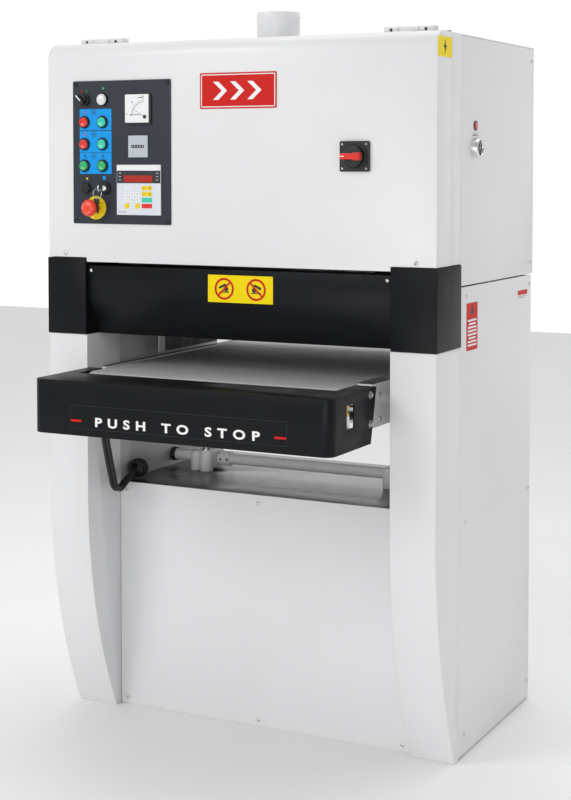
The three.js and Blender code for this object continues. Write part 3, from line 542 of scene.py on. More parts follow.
def make_cable():
    """Two strands from the table to the left column, with the spare length coiled there."""
    steps = 6
    middle = smooth_line([Vector(point) * MM for point in CABLE_ROUTE], steps)
    wall_end, table_end = middle[-1], middle[0]
    turn_from = len(middle) - 6 * steps  # side by side at the table, one above the other at the wall
    for name, side, replaced in (("stop_cable_run", -1, ["stop_cable"]), ("stop_cable_return", 1, [])):
        line = []
        for k, point in enumerate(middle):
            turn = min(1, max(0, (k - turn_from) / (4 * steps)))
            line.append(point + side * STRAND * Vector((1 - turn, 0, turn)).normalized())
        cable = build(name, BLACK_RUBBER, None, [(tube, line, CABLE_R, 20)], replaced)
        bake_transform(cable)
    coil = facing("front", -0.3735, -0.206, 0.5955)
    turns = ((0.0175, -0.007), (0.0185, 0.003), (0.0165, 0.013))  # radius and depth of each
    build("cable_coil", BLACK_RUBBER, "root", [
        (torus, shifted(coil, 0, 0, depth), radius, CABLE_R) for radius, depth in turns], smooth=60)
    wall = facing("right", HIGH["column_left"].x, wall_end.y - 0.0005, wall_end.z)
    build("cable_wall_boot", BLACK, "root", [(hoop, wall, 0.0085, 0.0155, 0.0002, 0.0045, 32)])
    under = facing("under", table_end.x, table_end.y, LOW["table_frame"].z + 0.026)
    nut = [(0.0118, 0), (0.0150, 0), (0.0150, 0.012), (0.0135, 0.015), (0.0135, 0.024), (0.0118, 0.026)]
    spun("cable_table_gland", BLACK, "feed_table", under, nut, 6, True, bevel=0.0006)


# ---- sheet metal -----------------------------------------------------------------------------------
def make_sheets():
    """Every folded or plain steel part, from its CAD node: finish, edge radius and nodes."""
    for finish, edge, nodes in (
            (WHITE, 0.0012, ("lower_front_panel", "side_panel_left", "side_panel_right", "head_cabinet",
                             "head_side_panel", "side_door", "front_door")),
            (WHITE, 0.0016, ("leg_fairing_left", "leg_fairing_right")),
            (WHITE, 0.0007, ("hinge_left", "hinge_right")),
            (CHARCOAL, 0.0013, ("corner_cap_left", "corner_cap_right", "front_hood", "stop_bar")),
            # FRAME_PAINTED_SHADE: white enamel darkened to grey as painted shade
            (FRAME_PAINTED_SHADE, 0.0012, ("column_left", "column_right", "head_beam", "tension_yoke")),
            (TABLE_GREY, 0.0012, ("table_frame",)),
            (DARK_STEEL, 0.0012, ("belt_lock_block", "pressure_beam_front", "pressure_beam_rear")),
            (GALVANISED, 0.0005, ("dust_chute",))):
        for node in nodes:
            refine(node, finish, edge)


# ---- fasteners -------------------------------------------------------------------------------------
SHEET_SCREW = 4.5 * MM  # head radius


def pan_screw(bm, place, radius):
    """A pan head with a round driver recess."""
    lathe(bm, place, [(0, -0.0005), (radius, -0.0005), (radius, 0.25 * radius), (0.86 * radius, 0.5 * radius),
                      (0.55 * radius, 0.66 * radius), (0.46 * radius, 0.68 * radius),
                      (0.4 * radius, 0.3 * radius), (0, 0.3 * radius)], 20)


def hex_bolt(bm, place, across):
    """A hexagon head on a washer."""
    hoop(bm, place, 0.2 * across, 0.95 * across, -0.0003, 0.0014, 24)
    corner = across / math.sqrt(3)
    lathe(bm, place, [(0, 0.001), (corner, 0.001), (corner, 0.6 * across), (0.8 * corner, 0.72 * across),
                      (0, 0.72 * across)], 6)


def screws(name, places, radius=SHEET_SCREW, finish=SCREW_STEEL, body="root", tool=pan_screw):
    build(name, finish, body, [(tool, place, radius) for place in places], smooth=30)


def make_panel_screws():
    low, high = LOW["lower_front_panel"], HIGH["lower_front_panel"]
    columns = (0.95 * low.x, -0.006, 0.93 * high.x)
    screws("front_panel_screws", [
        facing("front", x, low.y, z) for x in columns for z in (low.z + 0.016, high.z - 0.020)])
    for side, edges, upper in (("right", HIGH, "head_side_panel"), ("left", LOW, None)):
        node = "side_panel_" + side
        x, low, high = edges[node].x, LOW[node], HIGH[node]
        places = [facing(side, x, y, z) for y in (low.y + 0.035, high.y - 0.017)
                  for z in (low.z + 0.046, (low.z + high.z) / 2, high.z - 0.021)]
        if upper:
            low, high = LOW[upper], HIGH[upper]
            places += [facing(side, x, high.y - 0.017, z) for z in (low.z + 0.03, high.z - 0.03)]
        screws(node + "_screws", places)


def make_hinge_fasteners(node):
    """Plugs in the front of a roof hinge and screws in its top."""
    middle, front, top = MID[node].x, LOW[node].y, HIGH[node].z
    plugs = [facing("front", middle + x, front, top - 0.008) for x in both(0.042)]
    build(node + "_plugs", BLACK, "root", [(disc, plug, 0.0036, -0.0005, 0.0003) for plug in plugs])
    screws(node + "_screws", [facing("top", middle + x, front + 0.045, top - 0.0128) for x in both(0.045)],
           0.0036, BLACK)


def make_fasteners():
    make_panel_screws()
    door, hood = LOW["front_door"], LOW["front_hood"]
    screws("door_corner_screws", [facing("front", x, door.y, door.z + 0.020) for x in both(0.462)],
           0.0052, body="front_door")
    screws("hood_screws", [
        facing("front", x, hood.y, HIGH["front_hood"].z - 0.012) for x in both(0.3915)])
    make_hinge_fasteners("hinge_left")
    make_hinge_fasteners("hinge_right")
    low, rear = LOW["head_cabinet"], HIGH["head_cabinet"]
    screws("head_rear_screws", [
        facing("back", x, rear.y, z) for x in (low.x + 0.02, 0, rear.x - 0.02)
        for z in (HIGH["column_left"].z + 0.03, rear.z - 0.02)])


def make_rear_cover():
    """The motor compartment's bolted cover on the back of the base, with two columns of louvres."""
    back, foot, thick = HIGH["base_cabinet"].y, 0.07, 0.0022
    half_u, half_v, inset = 0.26, 0.2, 0.015
    place = facing("back", 0, back, foot + half_v)
    plate("motor_cover", WHITE, "root", place, half_u, half_v, (0.0002, thick), 0.012, bevel=0.0006)
    screws("motor_cover_screws", corners(place, half_u - inset, half_v - inset, thick))
    bm = bmesh.new()
    outline = [(-0.0004, 0.014), (-0.0004, 0), (0.0062, 0), (0.0062, 0.0015), (0.0012, 0.0135)]
    for left in (-0.21, 0.03):
        for k in range(9):
            lip = facing("right", left, back + thick, foot + 0.06 + 0.035 * k)
            prism(bm, lip, outline, 0, 0.18)
    piece("motor_cover_louvres", bm, WHITE, "root", bevel=0.0004)


# ---- control panel ---------------------------------------------------------------------------------
PANEL_PROUD = 3.3 * MM
DOOR_FACE = LOW["front_door"].y
PANEL_FACE = DOOR_FACE - PANEL_PROUD
BEZEL_R = 15 * MM
BUTTON_ROWS = {
    "upper": ("stop_button_upper", "start_button_upper"),
    "middle": ("stop_button_middle", "start_button_middle"),
    "lower": ("table_up_button", "table_down_button"),
}
LEFT_X = MID["stop_button_upper"].x
RIGHT_X = MID["start_button_upper"].x
LAMP_Z = (LOW["selector_knob"].z + HIGH["selector_knob"].z) / 2
MARK = (0.7 * MM, 0.9 * MM)  # depth of a printed mark on the button plates


def on_panel(x, z, lift=0.0):
    return facing("front", x, PANEL_FACE - lift, z)


def bezel(bm, place):
    """The black nut ring around a 22 mm button, with its grip notches."""
    lathe(bm, place, [(0.0122, -0.002), (BEZEL_R, -0.002), (BEZEL_R, 0.003), (BEZEL_R - 0.001, 0.0052),
                      (BEZEL_R - 0.0022, 0.006), (0.0122, 0.006)], 48, ring=True)
    for k in range(16):
        turned = shifted(place, 0, 0, 0, 360 / 16 * k)
        slab(bm, turned, (BEZEL_R - 0.0004, BEZEL_R + 0.0006), both(0.0009), (0, 0.0034))


def button_cap(name, node, finish, body):
    """A push-button's cap, dished, from its flange to its face."""
    face = PANEL_FACE - LOW[node].y - 0.0035
    radius = 0.0114
    foot = 0.0046  # inside its bezel, clear of the plate when pressed
    spun(name, finish, body, on_panel(MID[node].x, MID[node].z), [
        (0, foot), (radius, foot), (radius, face - 0.002), (radius - 0.0006, face - 0.0006),
        (radius - 0.002, face), (radius - 0.0036, face - 0.0002), (0.004, face - 0.0011),
        (0, face - 0.0013)], replaces=[node], smooth=50)


def arrow(up):
    """Outline of an arrow that points up or down."""
    sign = 1 if up else -1
    points = [(0, 5), (3.4, 0.6), (1.3, 0.6), (1.3, -4.4), (-1.3, -4.4), (-1.3, 0.6), (-3.4, 0.6)]
    outline = [(u * MM, sign * v * MM) for u, v in points]
    return outline if up else outline[::-1]


def make_buttons():
    plates, ink, red, green, rings = (bmesh.new() for _ in range(5))
    for row, (left, right) in BUTTON_ROWS.items():
        z = MID[left].z
        place = on_panel((LEFT_X + RIGHT_X) / 2, z)
        slab(plates, place, (-0.040, 0.051), (-0.0195, 0.0315), (0.0001, 0.0007), 0.001)
        for node in (left, right):
            bezel(rings, on_panel(MID[node].x, z))
        middle = shifted(place, 0.001, 0.0235)
        over_left, over_right = (shifted(middle, u, 0) for u in both(0.026))
        if row == "lower":
            prism(ink, over_left, arrow(True), *MARK)
            prism(ink, over_right, arrow(False), *MARK)
        else:
            hoop(red, over_left, 0.0024, 0.0036, *MARK, 24)
            slab(green, over_right, both(0.0008), both(0.0038), MARK)
        for turn in (0, 90):
            slab(ink, shifted(middle, 0, 0, 0, turn), both(0.0045), both(0.0006), MARK)
        hoop(ink, middle, 0.0058, 0.0068, *MARK, 28)
    piece("button_plates", plates, BLUE, "front_door")
    piece("button_glyphs", ink, INK, "front_door")
    over_selector = LAMP_Z + 0.0205
    hoop(red, on_panel(LEFT_X - 0.008, over_selector), 0.0020, 0.0030, *MARK, 24)
    slab(green, on_panel(LEFT_X + 0.006, over_selector), both(0.0008), both(0.0034), MARK)
    disc(green, on_panel(RIGHT_X + 0.002, LAMP_Z + 0.0265), 0.003, *MARK, steps=20)
    piece("stop_glyphs", red, LABEL_RED, "front_door")
    piece("start_glyphs", green, GREEN, "front_door")
    for x, z in ((LEFT_X, LAMP_Z), (MID["key_switch"].x, MID["key_switch"].z), (RIGHT_X, LAMP_Z)):
        bezel(rings, on_panel(x, z))
    piece("button_bezels", rings, BLACK, "front_door", smooth=40)
    caps = {"stop": RED, "start": AQUA, "table": GREEN}
    for pair in BUTTON_ROWS.values():
        for node in pair:
            button_cap(node + "_cap", node, caps[node.split("_")[0]], BODY_OF[node])


def make_selector():
    """Black selector with a bar grip that points up and left, and a white line on the grip."""
    place = on_panel(LEFT_X, LAMP_Z)
    grip = shifted(place, 0, 0, 0, 45)
    build("selector_grip", BLACK, "selector_knob", [
        (lathe, place, [(0, -0.001), (0.0118, -0.001), (0.0118, 0.010), (0.0105, 0.0135), (0, 0.0135)], 40),
        (slab, grip, both(0.0042), (-0.0128, 0.0150), (0.012, 0.0236), 0.004),
    ], replaces=["selector_knob"], bevel=0.0008)
    build("selector_pointer", LABEL_WHITE, "selector_knob", [
        (slab, grip, both(0.0014), (-0.0040, 0.0146), (0.0235, 0.0239), 0.0008)])


def make_lamp():
    place = on_panel(RIGHT_X, LAMP_Z)
    dome = [(0, 0), (0.0118, 0), (0.0118, 0.0065), (0.0112, 0.0082), (0.0092, 0.0095), (0, 0.0105)]
    spun("power_lamp", LAMP, "front_door", place, dome, smooth=50)
    build("power_lamp_ring", LABEL_WHITE, "front_door", [(hoop, place, 0.0118, 0.0130, 0.0058, 0.0068, 48)])


def make_key_switch():
    """Black barrel with its key in a chrome core, a split ring and a spare key that hangs from it."""
    centre = MID["key_switch"]
    place = on_panel(centre.x, centre.z)
    spun("key_barrel", BLACK, "key_switch", place, [
        (0, -0.001), (0.0116, -0.001), (0.0116, 0.0082), (0.0104, 0.0094), (0.0072, 0.0094),
        (0.0066, 0.0082), (0, 0.0082)], replaces=["key_switch"])
    build("key_core", CHROME, "key_switch", [(disc, place, 0.0064, 0.0080, 0.0092, 0.0004)])
    side = facing("right", centre.x, PANEL_FACE - 0.0225, centre.z)
    build("key", CHROME, "key_switch", [
        (slab, place, both(0.0011), both(0.0036), (0.006, 0.018), 0.0004),
        (slab, side, (-0.0105, 0.0065), both(0.0088), both(0.0011), 0.0062),
    ], bevel=0.0003)
    ring = facing("front", centre.x - 0.0045, PANEL_FACE - 0.0288, centre.z - 0.0125)
    spare = shifted(ring, -0.0025, -0.0215, -0.001, 8)
    blade = [(-0.0028, -0.0055), (-0.0028, -0.024), (0, -0.027), (0.003, -0.0235), (0.0018, -0.020),
             (0.0032, -0.0165), (0.002, -0.0125), (0.0032, -0.0055)]
    build("key_ring", STEEL, "key_switch", [(torus, ring, 0.0118, 0.0007, 36, 8)])
    build("spare_key", BLACK, "key_switch", [
        (slab, spare, both(0.0075), (-0.006, 0.012), both(0.0009), 0.005),
        (prism, spare, blade, *both(0.0007)),
    ], bevel=0.0002)


def make_emergency_stop():
    """Yellow collar and a red mushroom with a crowned top and a finger rim."""
    node = "emergency_stop_button"
    place = on_panel(MID[node].x, MID[node].z)
    spun("emergency_collar", YELLOW, "front_door", place, [
        (0.0118, 0.0001), (0.0285, 0.0001), (0.0285, 0.0022), (0.0276, 0.003), (0.0172, 0.003),
        (0.0165, 0.0055), (0.0118, 0.0055)], 64, True)
    wedge = [(0.0255, 0), (0.0215, 0.0022), (0.0215, -0.0022)]
    build("emergency_collar_marks", LABEL_RED, "front_door", [
        (prism, shifted(place, 0, 0, 0.003, 120 * k + 30), wedge, -0.0001, 0.0002) for k in range(3)])
    top = PANEL_FACE - LOW[node].y
    # radius, and how far under the top
    crown = [(0.0112, 0.0170), (0.0178, 0.0155), (0.0198, 0.0145), (0.0205, 0.0125), (0.0205, 0.0100),
             (0.0196, 0.0070), (0.0172, 0.0040), (0.0130, 0.0016), (0.0070, 0.0003), (0, 0)]
    profile = [(0, 0.0062), (0.0112, 0.0062)] + [(radius, top - under) for radius, under in crown]
    spun("emergency_mushroom", MUSHROOM, node, place, profile, 64, replaces=[node], smooth=60)
    sweep = arc((0, 0), 0.0126, 15, 75, 8) + arc((0, 0), 0.0112, 75, 15, 8)
    build("emergency_mushroom_arrows", LABEL_WHITE, node, [
        (prism, shifted(place, 0, 0, top - 0.0026, 120 * k), sweep, -0.002, 0.0012) for k in range(3)])


def make_buzzer():
    """Round buzzer with sound slots, and the dots over it and over the key switch."""
    z = MID["key_switch"].z
    centre = on_panel(LEFT_X + 0.004, z)
    slots = [(slab, shifted(centre, 0, 0.0028 * k), both(0.0075), both(0.0008), (0.0076, 0.0088))
             for k in range(-2, 3)]
    build("buzzer", BLACK, "front_door", [
        (lathe, centre, [(0, 0), (0.013, 0), (0.013, 0.006), (0.0115, 0.008), (0, 0.008)], 40), *slots])
    for name, finish, x, rise, radius in (("buzzer_dot", YELLOW, LEFT_X + 0.0065, 0.023, 0.0027),
                                          ("key_dot", BLUE, RIGHT_X + 0.0035, 0.025, 0.0048)):
        build(name, finish, "front_door", [(disc, on_panel(x, z + rise), radius, 0.0001, 0.0005)])


def make_ammeter():
    """White scale plate in a black housing that shows at its right and below."""
    place = on_panel(MID["ammeter"].x, MID["ammeter"].z)
    face = PANEL_FACE - LOW["ammeter"].y
    build("ammeter_housing", BLACK, "front_door", [
        (slab, place, (-0.034, 0.0385), (-0.0385, 0.035), (0.0001, face - 0.0012), 0.002),
    ], replaces=["ammeter"], bevel=0.0008)
    build("ammeter_face", WHITE_PLASTIC, "front_door", [
        (slab, place, (-0.033, 0.0325), both(0.0335), (face - 0.0016, face), 0.0015)], bevel=0.0003)
    marks = bmesh.new()
    dial = shifted(place, 0.022, -0.020, face)
    depth = (-0.0001, 0.0002)
    first, last, ticks = 95, 175, 11
    for k in range(ticks):
        tick = shifted(dial, 0, 0, 0, first + (last - first) * k / (ticks - 1))
        slab(marks, tick, (0.036, 0.041 if k % 5 else 0.0445), both(0.0003), depth)
    prism(marks, dial, arc((0, 0), 0.0362, first, last, 24) + arc((0, 0), 0.0356, last, first, 24), *depth)
    needle = [(0.004, -0.0005), (0.040, -0.0002), (0.040, 0.0002), (0.004, 0.0005)]
    prism(marks, shifted(dial, 0, 0, 0, 150), needle, *depth)
    disc(marks, dial, 0.0045, -0.0002, 0.0016, 0.0005)
    for u, v in (((-0.019, 0.009), (-0.0155, -0.0142)), ((0.004, 0.018), (0.0245, 0.0262))):
        slab(marks, place, u, v, (face - 0.0001, face + 0.0002))
    for k, words in enumerate(("0", "20", "40")):
        angle = math.radians(172 - 38 * k)
        spot = shifted(dial, 0.0505 * math.cos(angle), 0.0485 * math.sin(angle), -0.0001)
        lettering(marks, spot, words, 0.0038, 0.0003)
    piece("ammeter_marks", marks, INK, "front_door")


def make_hour_meter():
    """Grey counter with a dark window of number wheels."""
    place = on_panel(MID["ammeter"].x + 0.0015, MID["stop_button_middle"].z - 0.006)
    face, digit = 0.0034, 0.0042
    plate("hour_meter", GREY_PLASTIC, "front_door", place, 0.027, 0.026, (0.0001, face), 0.0015, bevel=0.0005)
    plate("hour_meter_window", INK, "front_door", shifted(place, -0.001, 0), 0.018, 0.0035,
          (face - 0.0001, face + 0.0003), 0.0005)
    digits = bmesh.new()
    for k in range(5):
        lettering(digits, shifted(place, -0.0155 + 0.0072 * k, 0, face + 0.0003), "0", digit, 0.0002)
    piece("hour_meter_digits", digits, LABEL_WHITE, "front_door")


def make_digital_controller():
    """Table height controller: pale strip, dark band with a red display, and a keypad."""
    low, middle = LOW["digital_controller"], MID["digital_controller"]
    half, top, face = middle.x - low.x, middle.z - low.z, PANEL_FACE - low.y
    place = on_panel(middle.x, middle.z)
    plate("controller_case", PALE, "front_door", place, half, top, (0.0001, face - 0.0006), 0.0015,
          ["digital_controller"], 0.0005)
    inset = half - 0.001
    plate("controller_strip", WHITE_PLASTIC, "front_door", shifted(place, 0, top - 0.00735), inset, 0.00635,
          (face - 0.0007, face - 0.0001), 0.0006)
    plate("controller_band", INK, "front_door", shifted(place, 0, top - 0.0291), inset, 0.0149,
          (face - 0.0007, face - 0.0002))
    plate("controller_display", DISPLAY, "front_door", shifted(place, -0.001, top - 0.0335),
          half - 0.0215, 0.008, (face - 0.0003, face + 0.0002), 0.0006)
    build("controller_band_marks", PALE, "front_door", [
        (slab, shifted(place, u, top - v), both(0.003), both(0.0007), (face - 0.0003, face))
        for u in both(0.052) for v in (0.036, 0.028, 0.020)])
    columns = [-half + 0.029 + 0.015 * k for k in range(3)]
    rows = [top - 0.0555 - 0.0142 * k for k in range(4)]
    depth, mark = (face - 0.0007, face + 0.0004), (0, 0.0002)
    keys, dots = bmesh.new(), bmesh.new()
    spots = [(u, v) for v in rows[:3] for u in columns] + [(columns[1], rows[3])]
    for digit, (u, v) in zip("1234567890", spots):
        slab(keys, shifted(place, u, v), both(0.006), both(0.005), depth, 0.001)
        lettering(dots, shifted(place, u, v, face + 0.0004), digit, 0.0042, 0.0002)
    piece("controller_keys", keys, WHITE_PLASTIC, "front_door")
    round_keys = [(disc, shifted(place, u, rows[3]), 0.0068, *depth, 0.0003) for u in columns[::2]]
    wide_x = half - 0.038
    for name, finish, levels, more in (("yellow", YELLOW, rows[:2], round_keys),
                                       ("aqua", AQUA, rows[2:3], []),
                                       ("red", RED, rows[3:], [])):
        wide = [(slab, shifted(place, wide_x, v), both(0.014), both(0.0052), depth, 0.001)
                for v in levels]
        build("controller_keys_" + name, finish, "front_door", wide + more)
    for v in rows[:2]:
        symbol = shifted(place, wide_x, v, face + 0.0004)
        for u in both(0.008):
            slab(dots, shifted(symbol, u, 0), both(0.0022), both(0.0006), mark)
        slab(dots, shifted(symbol, 0.008, 0), both(0.0006), both(0.0022), mark)
    caption = shifted(place, -half + 0.0155, -top + 0.00715)
    slab(dots, caption, both(0.0105), both(0.00065), (face - 0.0007, face - 0.0003))
    piece("controller_marks", dots, INK, "front_door")


def make_control_panel():
    low, high, middle = LOW["control_panel"], HIGH["control_panel"], MID["control_panel"]
    half_u, half_v, inset = (high.x - low.x) / 2, (high.z - low.z) / 2, 0.0085
    place = facing("front", middle.x, DOOR_FACE, middle.z)
    plate("control_plate", SLATE, "front_door", place, half_u, half_v, (0.0003, PANEL_PROUD), 0.003,
          ["control_panel"], 0.0005)
    screws("control_plate_screws", corners(place, half_u - inset, half_v - inset, PANEL_PROUD),
           0.0048, BLACK, "front_door")
    make_buttons()
    make_selector()
    make_lamp()
    make_key_switch()
    make_emergency_stop()
    make_buzzer()
    make_ammeter()
    make_hour_meter()
    make_digital_controller()


def make_isolator():
    """Main switch: black square base with a raised ring, black round knob with a red bar grip."""
    base, handle = MID["isolator_base"], MID["isolator_handle"]
    half = base.x - LOW["isolator_base"].x
    place = facing("front", base.x, DOOR_FACE, base.z)
    face = DOOR_FACE - LOW["isolator_base"].y
    build("isolator_plate", BLACK, "front_door", [
        (slab, place, both(half), both(half - 0.002), (0.0003, face - 0.003), 0.004),
        (hoop, place, 0.0262, 0.031, face - 0.004, face, 56),
    ], replaces=["isolator_base"], bevel=0.0006)
    screws("isolator_screws", corners(place, 0.029, 0.027, face - 0.003), 0.0028, STEEL, "front_door")
    reach = DOOR_FACE - LOW["isolator_handle"].y
    knob = facing("front", handle.x, DOOR_FACE, handle.z)
    spun("isolator_knob", BLACK, "isolator_handle", knob, [
        (0, 0.009), (0.0245, 0.009), (0.0245, 0.017), (0.0225, 0.0205), (0, 0.0215)],
        replaces=["isolator_handle"])
    build("isolator_grip", RED, "isolator_handle", [
        (slab, knob, both(0.0235), both(0.0068), (0.0205, reach), 0.0045),
        (slab, knob, (0.004, 0.0236), both(0.0088), (0.0205, reach - 0.006), 0.003)], bevel=0.0012)
    build("isolator_pointer", LABEL_WHITE, "isolator_handle", [
        (slab, knob, (-0.0225, -0.012), both(0.001), (reach - 0.0001, reach + 0.0002), 0.0004)])


# ---- badges and labels, all generic ------------------------------------------------------------------
def make_badge():
    """Red plate with a white line round it and three chevrons that show the feed direction."""
    place = facing("front", 0.019, DOOR_FACE, 1.5355)
    half_u, half_v, inset = 0.1005, 0.0415, 0.0045
    line, depth = 0.0011, (0.0015, 0.0019)
    plate("badge_plate", LABEL_RED, "front_door", place, half_u, half_v, (0.0002, 0.0016), 0.003,
          bevel=0.0004)
    lines = bmesh.new()
    inner_u, inner_v = half_u - inset, half_v - inset
    for side in (-1, 1):
        slab(lines, shifted(place, 0, side * inner_v), both(inner_u), both(line), depth)
        slab(lines, shifted(place, side * inner_u, 0), both(line), both(inner_v), depth)
    chevron = [(0.003, 0), (-0.020, -0.021), (-0.006, -0.021), (0.017, 0), (-0.006, 0.021), (-0.020, 0.021)]
    for u in (-0.045, 0.0, 0.045):
        prism(lines, shifted(place, u, 0), chevron, *depth)
    piece("badge_marks", lines, LABEL_WHITE, "front_door")


def make_hood_label():
    """Yellow plate with two prohibition rings over plain symbols."""
    place = facing("front", 0.021, LOW["front_hood"].y, 1.076)
    plate("hood_label", LABEL_YELLOW, "root", place, 0.0855, 0.032, (0.0002, 0.0012), 0.001)
    rings, glyphs = bmesh.new(), bmesh.new()
    hand = [(-0.011, -0.002), (0.008, -0.0035), (0.011, 0), (0.008, 0.0035), (-0.011, 0.003)]
    printed = (0.0011, 0.0013)
    for side in (-1, 1):
        spot = shifted(place, side * 0.042, 0)
        hoop(rings, spot, 0.0205, 0.0255, 0.0011, 0.0016, 48)
        slab(rings, shifted(spot, 0, 0, 0, -45 * side), both(0.022), both(0.0022), (0.0014, 0.0017))
        slab(glyphs, spot, both(0.013), (-0.009, -0.0065), printed)
        disc(glyphs, shifted(spot, -side * 0.005, -0.0005), 0.006, *printed)
        prism(glyphs, shifted(spot, side * 0.004, 0.006, 0, -25 * side), hand, *printed)
    piece("hood_label_rings", rings, LABEL_RED, "root")
    piece("hood_label_glyphs", glyphs, INK, "root")


def label_with_bars(name, place, half_u, half_v, bars, finish, dark_top=0.0):
    """A label with rows of plain bars in place of words, below a part that is left free."""
    plate(name, finish, "root", place, half_u, half_v, (0.0002, 0.0008), 0.001)
    rows = bmesh.new()
    first = half_v * (1 - dark_top) - 0.006
    pitch = (first + half_v - 0.004) / bars
    for k in range(bars):
        v = first - pitch * k
        wide = half_u * (0.62 if k % 4 == 1 else 0.8)
        slab(rows, place, both(wide), (v - 0.32 * pitch, v + 0.2 * pitch), (0.0007, 0.001))
    piece(name + "_bars", rows, LABEL_WHITE, "root")


def make_side_labels():
    side = HIGH["side_panel_right"].x
    tall = facing("right", side, -0.1755, 0.9935)
    label_with_bars("warning_label", tall, 0.0355, 0.0545, 8, LABEL_RED, dark_top=0.62)
    sign = [(-0.012, -0.009), (0.012, -0.009), (0, 0.011)]
    build("warning_label_sign", INK, "root", [(prism, shifted(tall, 0, 0.038), sign, 0.0007, 0.001)])
    small, printed = facing("right", side, 0.1825, 1.041), (0.0006, 0.0009)
    plate("notice_label", LABEL_WHITE, "root", small, 0.0385, 0.013, (0.0002, 0.0007), 0.001)
    plate("notice_label_head", LABEL_RED, "root", shifted(small, 0, 0.00575), 0.036, 0.00575, printed)
    build("notice_label_lines", INK, "root", [
        (slab, shifted(small, 0, v), (-0.032, end), both(0.0005), printed)
        for v, end in ((-0.0035, 0.032), (-0.0075, 0.018))])
    door = facing("right", HIGH["front_door"].x, LOW["front_door"].y + 0.043, 1.6225)
    bolt = [(0.003, 0.018), (-0.010, -0.002), (-0.002, -0.002),
            (-0.004, -0.018), (0.010, 0.003), (0.002, 0.003)]
    plate("voltage_label", LABEL_YELLOW, "front_door", door, 0.041, 0.022, (0.0002, 0.0008), 0.001)
    build("voltage_label_bolt", INK, "front_door", [(prism, door, bolt, 0.0007, 0.001)])


def make_belt_lamp():
    """Red lamp over the gauge, with two lines in place of a caption."""
    lamp = facing("right", HIGH["head_side_panel"].x, -0.16, 1.454)
    build("belt_lamp_ring", BLACK, "root", [(hoop, lamp, 0.0085, 0.0115, 0.0001, 0.0022, 40)], bevel=0.0003)
    dome = [(0, 0), (0.0085, 0), (0.0085, 0.0016), (0.006, 0.0034), (0, 0.0042)]
    spun("belt_lamp", RED, "root", lamp, dome, 32, smooth=60)
    build("gauge_caption", INK, "root", [
        (slab, shifted(lamp, 0, v), both(wide), both(0.0007), (0.0001, 0.0003))
        for v, wide in ((-0.019, 0.013), (-0.0225, 0.019))])


def make_tension_gauge():
    """The air pressure gauge for the belt tension."""
    low, high, middle = LOW["tension_gauge"], HIGH["tension_gauge"], MID["tension_gauge"]
    radius, deep = (high.y - low.y) / 2, high.x - low.x
    gauge = facing("right", low.x, middle.y, middle.z)
    spun("gauge_bezel", CHROME, "root", gauge, [
        (0, 0), (radius, 0), (radius, deep - 0.004), (radius - 0.0015, deep - 0.001), (radius - 0.003, deep),
        (radius - 0.0045, deep - 0.001), (radius - 0.005, deep - 0.004), (0, deep - 0.004)],
        64, replaces=["tension_gauge"], smooth=50)
    dial = shifted(gauge, 0, 0, deep - 0.004)
    build("gauge_dial", INK, "root", [(disc, dial, radius - 0.005, -0.0002, 0.0004)])
    marks = bmesh.new()
    for k in range(13):
        tick = shifted(dial, 0, 0, 0, -45 + 22.5 * k)
        slab(marks, tick, (0.0128 if k % 3 else 0.011, 0.0158), both(0.0004), (0.0003, 0.0007))
    needle = [(-0.004, -0.0008), (0.0135, -0.0002), (0.0135, 0.0002), (-0.004, 0.0008)]
    prism(marks, shifted(dial, 0, 0, 0, 62), needle, 0.0008, 0.0012)
    disc(marks, dial, 0.0018, 0.0003, 0.0018)
    piece("gauge_marks", marks, LABEL_WHITE, "root")


# ---- turning parts -----------------------------------------------------------------------------------
PULLEY_X = (LOW["drive_belt"].x, HIGH["drive_belt"].x)
DRUM_PULLEY_R = 55 * MM
GROOVES = (-12 * MM, 0.0, 12 * MM)  # V-belt grooves, from the middle of a pulley
GROOVE_TOP, GROOVE_FOOT, GROOVE_DEEP = 5.3 * MM, 3 * MM, 9.5 * MM
COVER = 8 * MM  # rubber on the drum


ROLLER_R = 12 * MM  # shaft of the tension and feed rollers


def radius_of(node):
    return (HIGH[node].z - LOW[node].z) / 2


def axle(node):
    """A place on a roller's axis, at x = 0, that looks along X."""
    return facing("right", 0, MID[node].y, MID[node].z)


def turned(name, finish, node, profile, replaces=(), ring=False, steps=48):
    """A round piece about a node's axis. The profile is (radius, x) pairs."""
    return spun(name, finish, BODY_OF[node], axle(node), profile, steps, ring, replaces, smooth=40)


def roller_end(radius, face, shaft, end):
    """One end of a roller: rounded rim, dished web, hub and shaft."""
    dish, hub = 0.74 * radius, shaft + 4 * MM
    return [(radius, face - 0.0015), (radius - 0.0015, face), (dish, face), (dish - 0.002, face - 0.004),
            (hub, face - 0.004), (hub, face - 0.001), (shaft, face - 0.001), (shaft, end - 0.0012),
            (shaft - 0.0012, end), (0, end)]


def roller_profile(radius, faces, shaft, ends):
    left = roller_end(radius, -faces[0], shaft, -ends[0])
    return [(r, -x) for r, x in left[::-1]] + roller_end(radius, faces[1], shaft, ends[1])


def pulley_profile(radius):
    """Rim of a three-groove V pulley."""
    middle = sum(PULLEY_X) / 2
    rim = [(radius, PULLEY_X[0])]
    for groove in GROOVES:
        x = middle + groove
        rim += [(radius, x - GROOVE_TOP), (radius - GROOVE_DEEP, x - GROOVE_FOOT),
                (radius - GROOVE_DEEP, x + GROOVE_FOOT), (radius, x + GROOVE_TOP)]
    return rim + [(radius, PULLEY_X[1])]


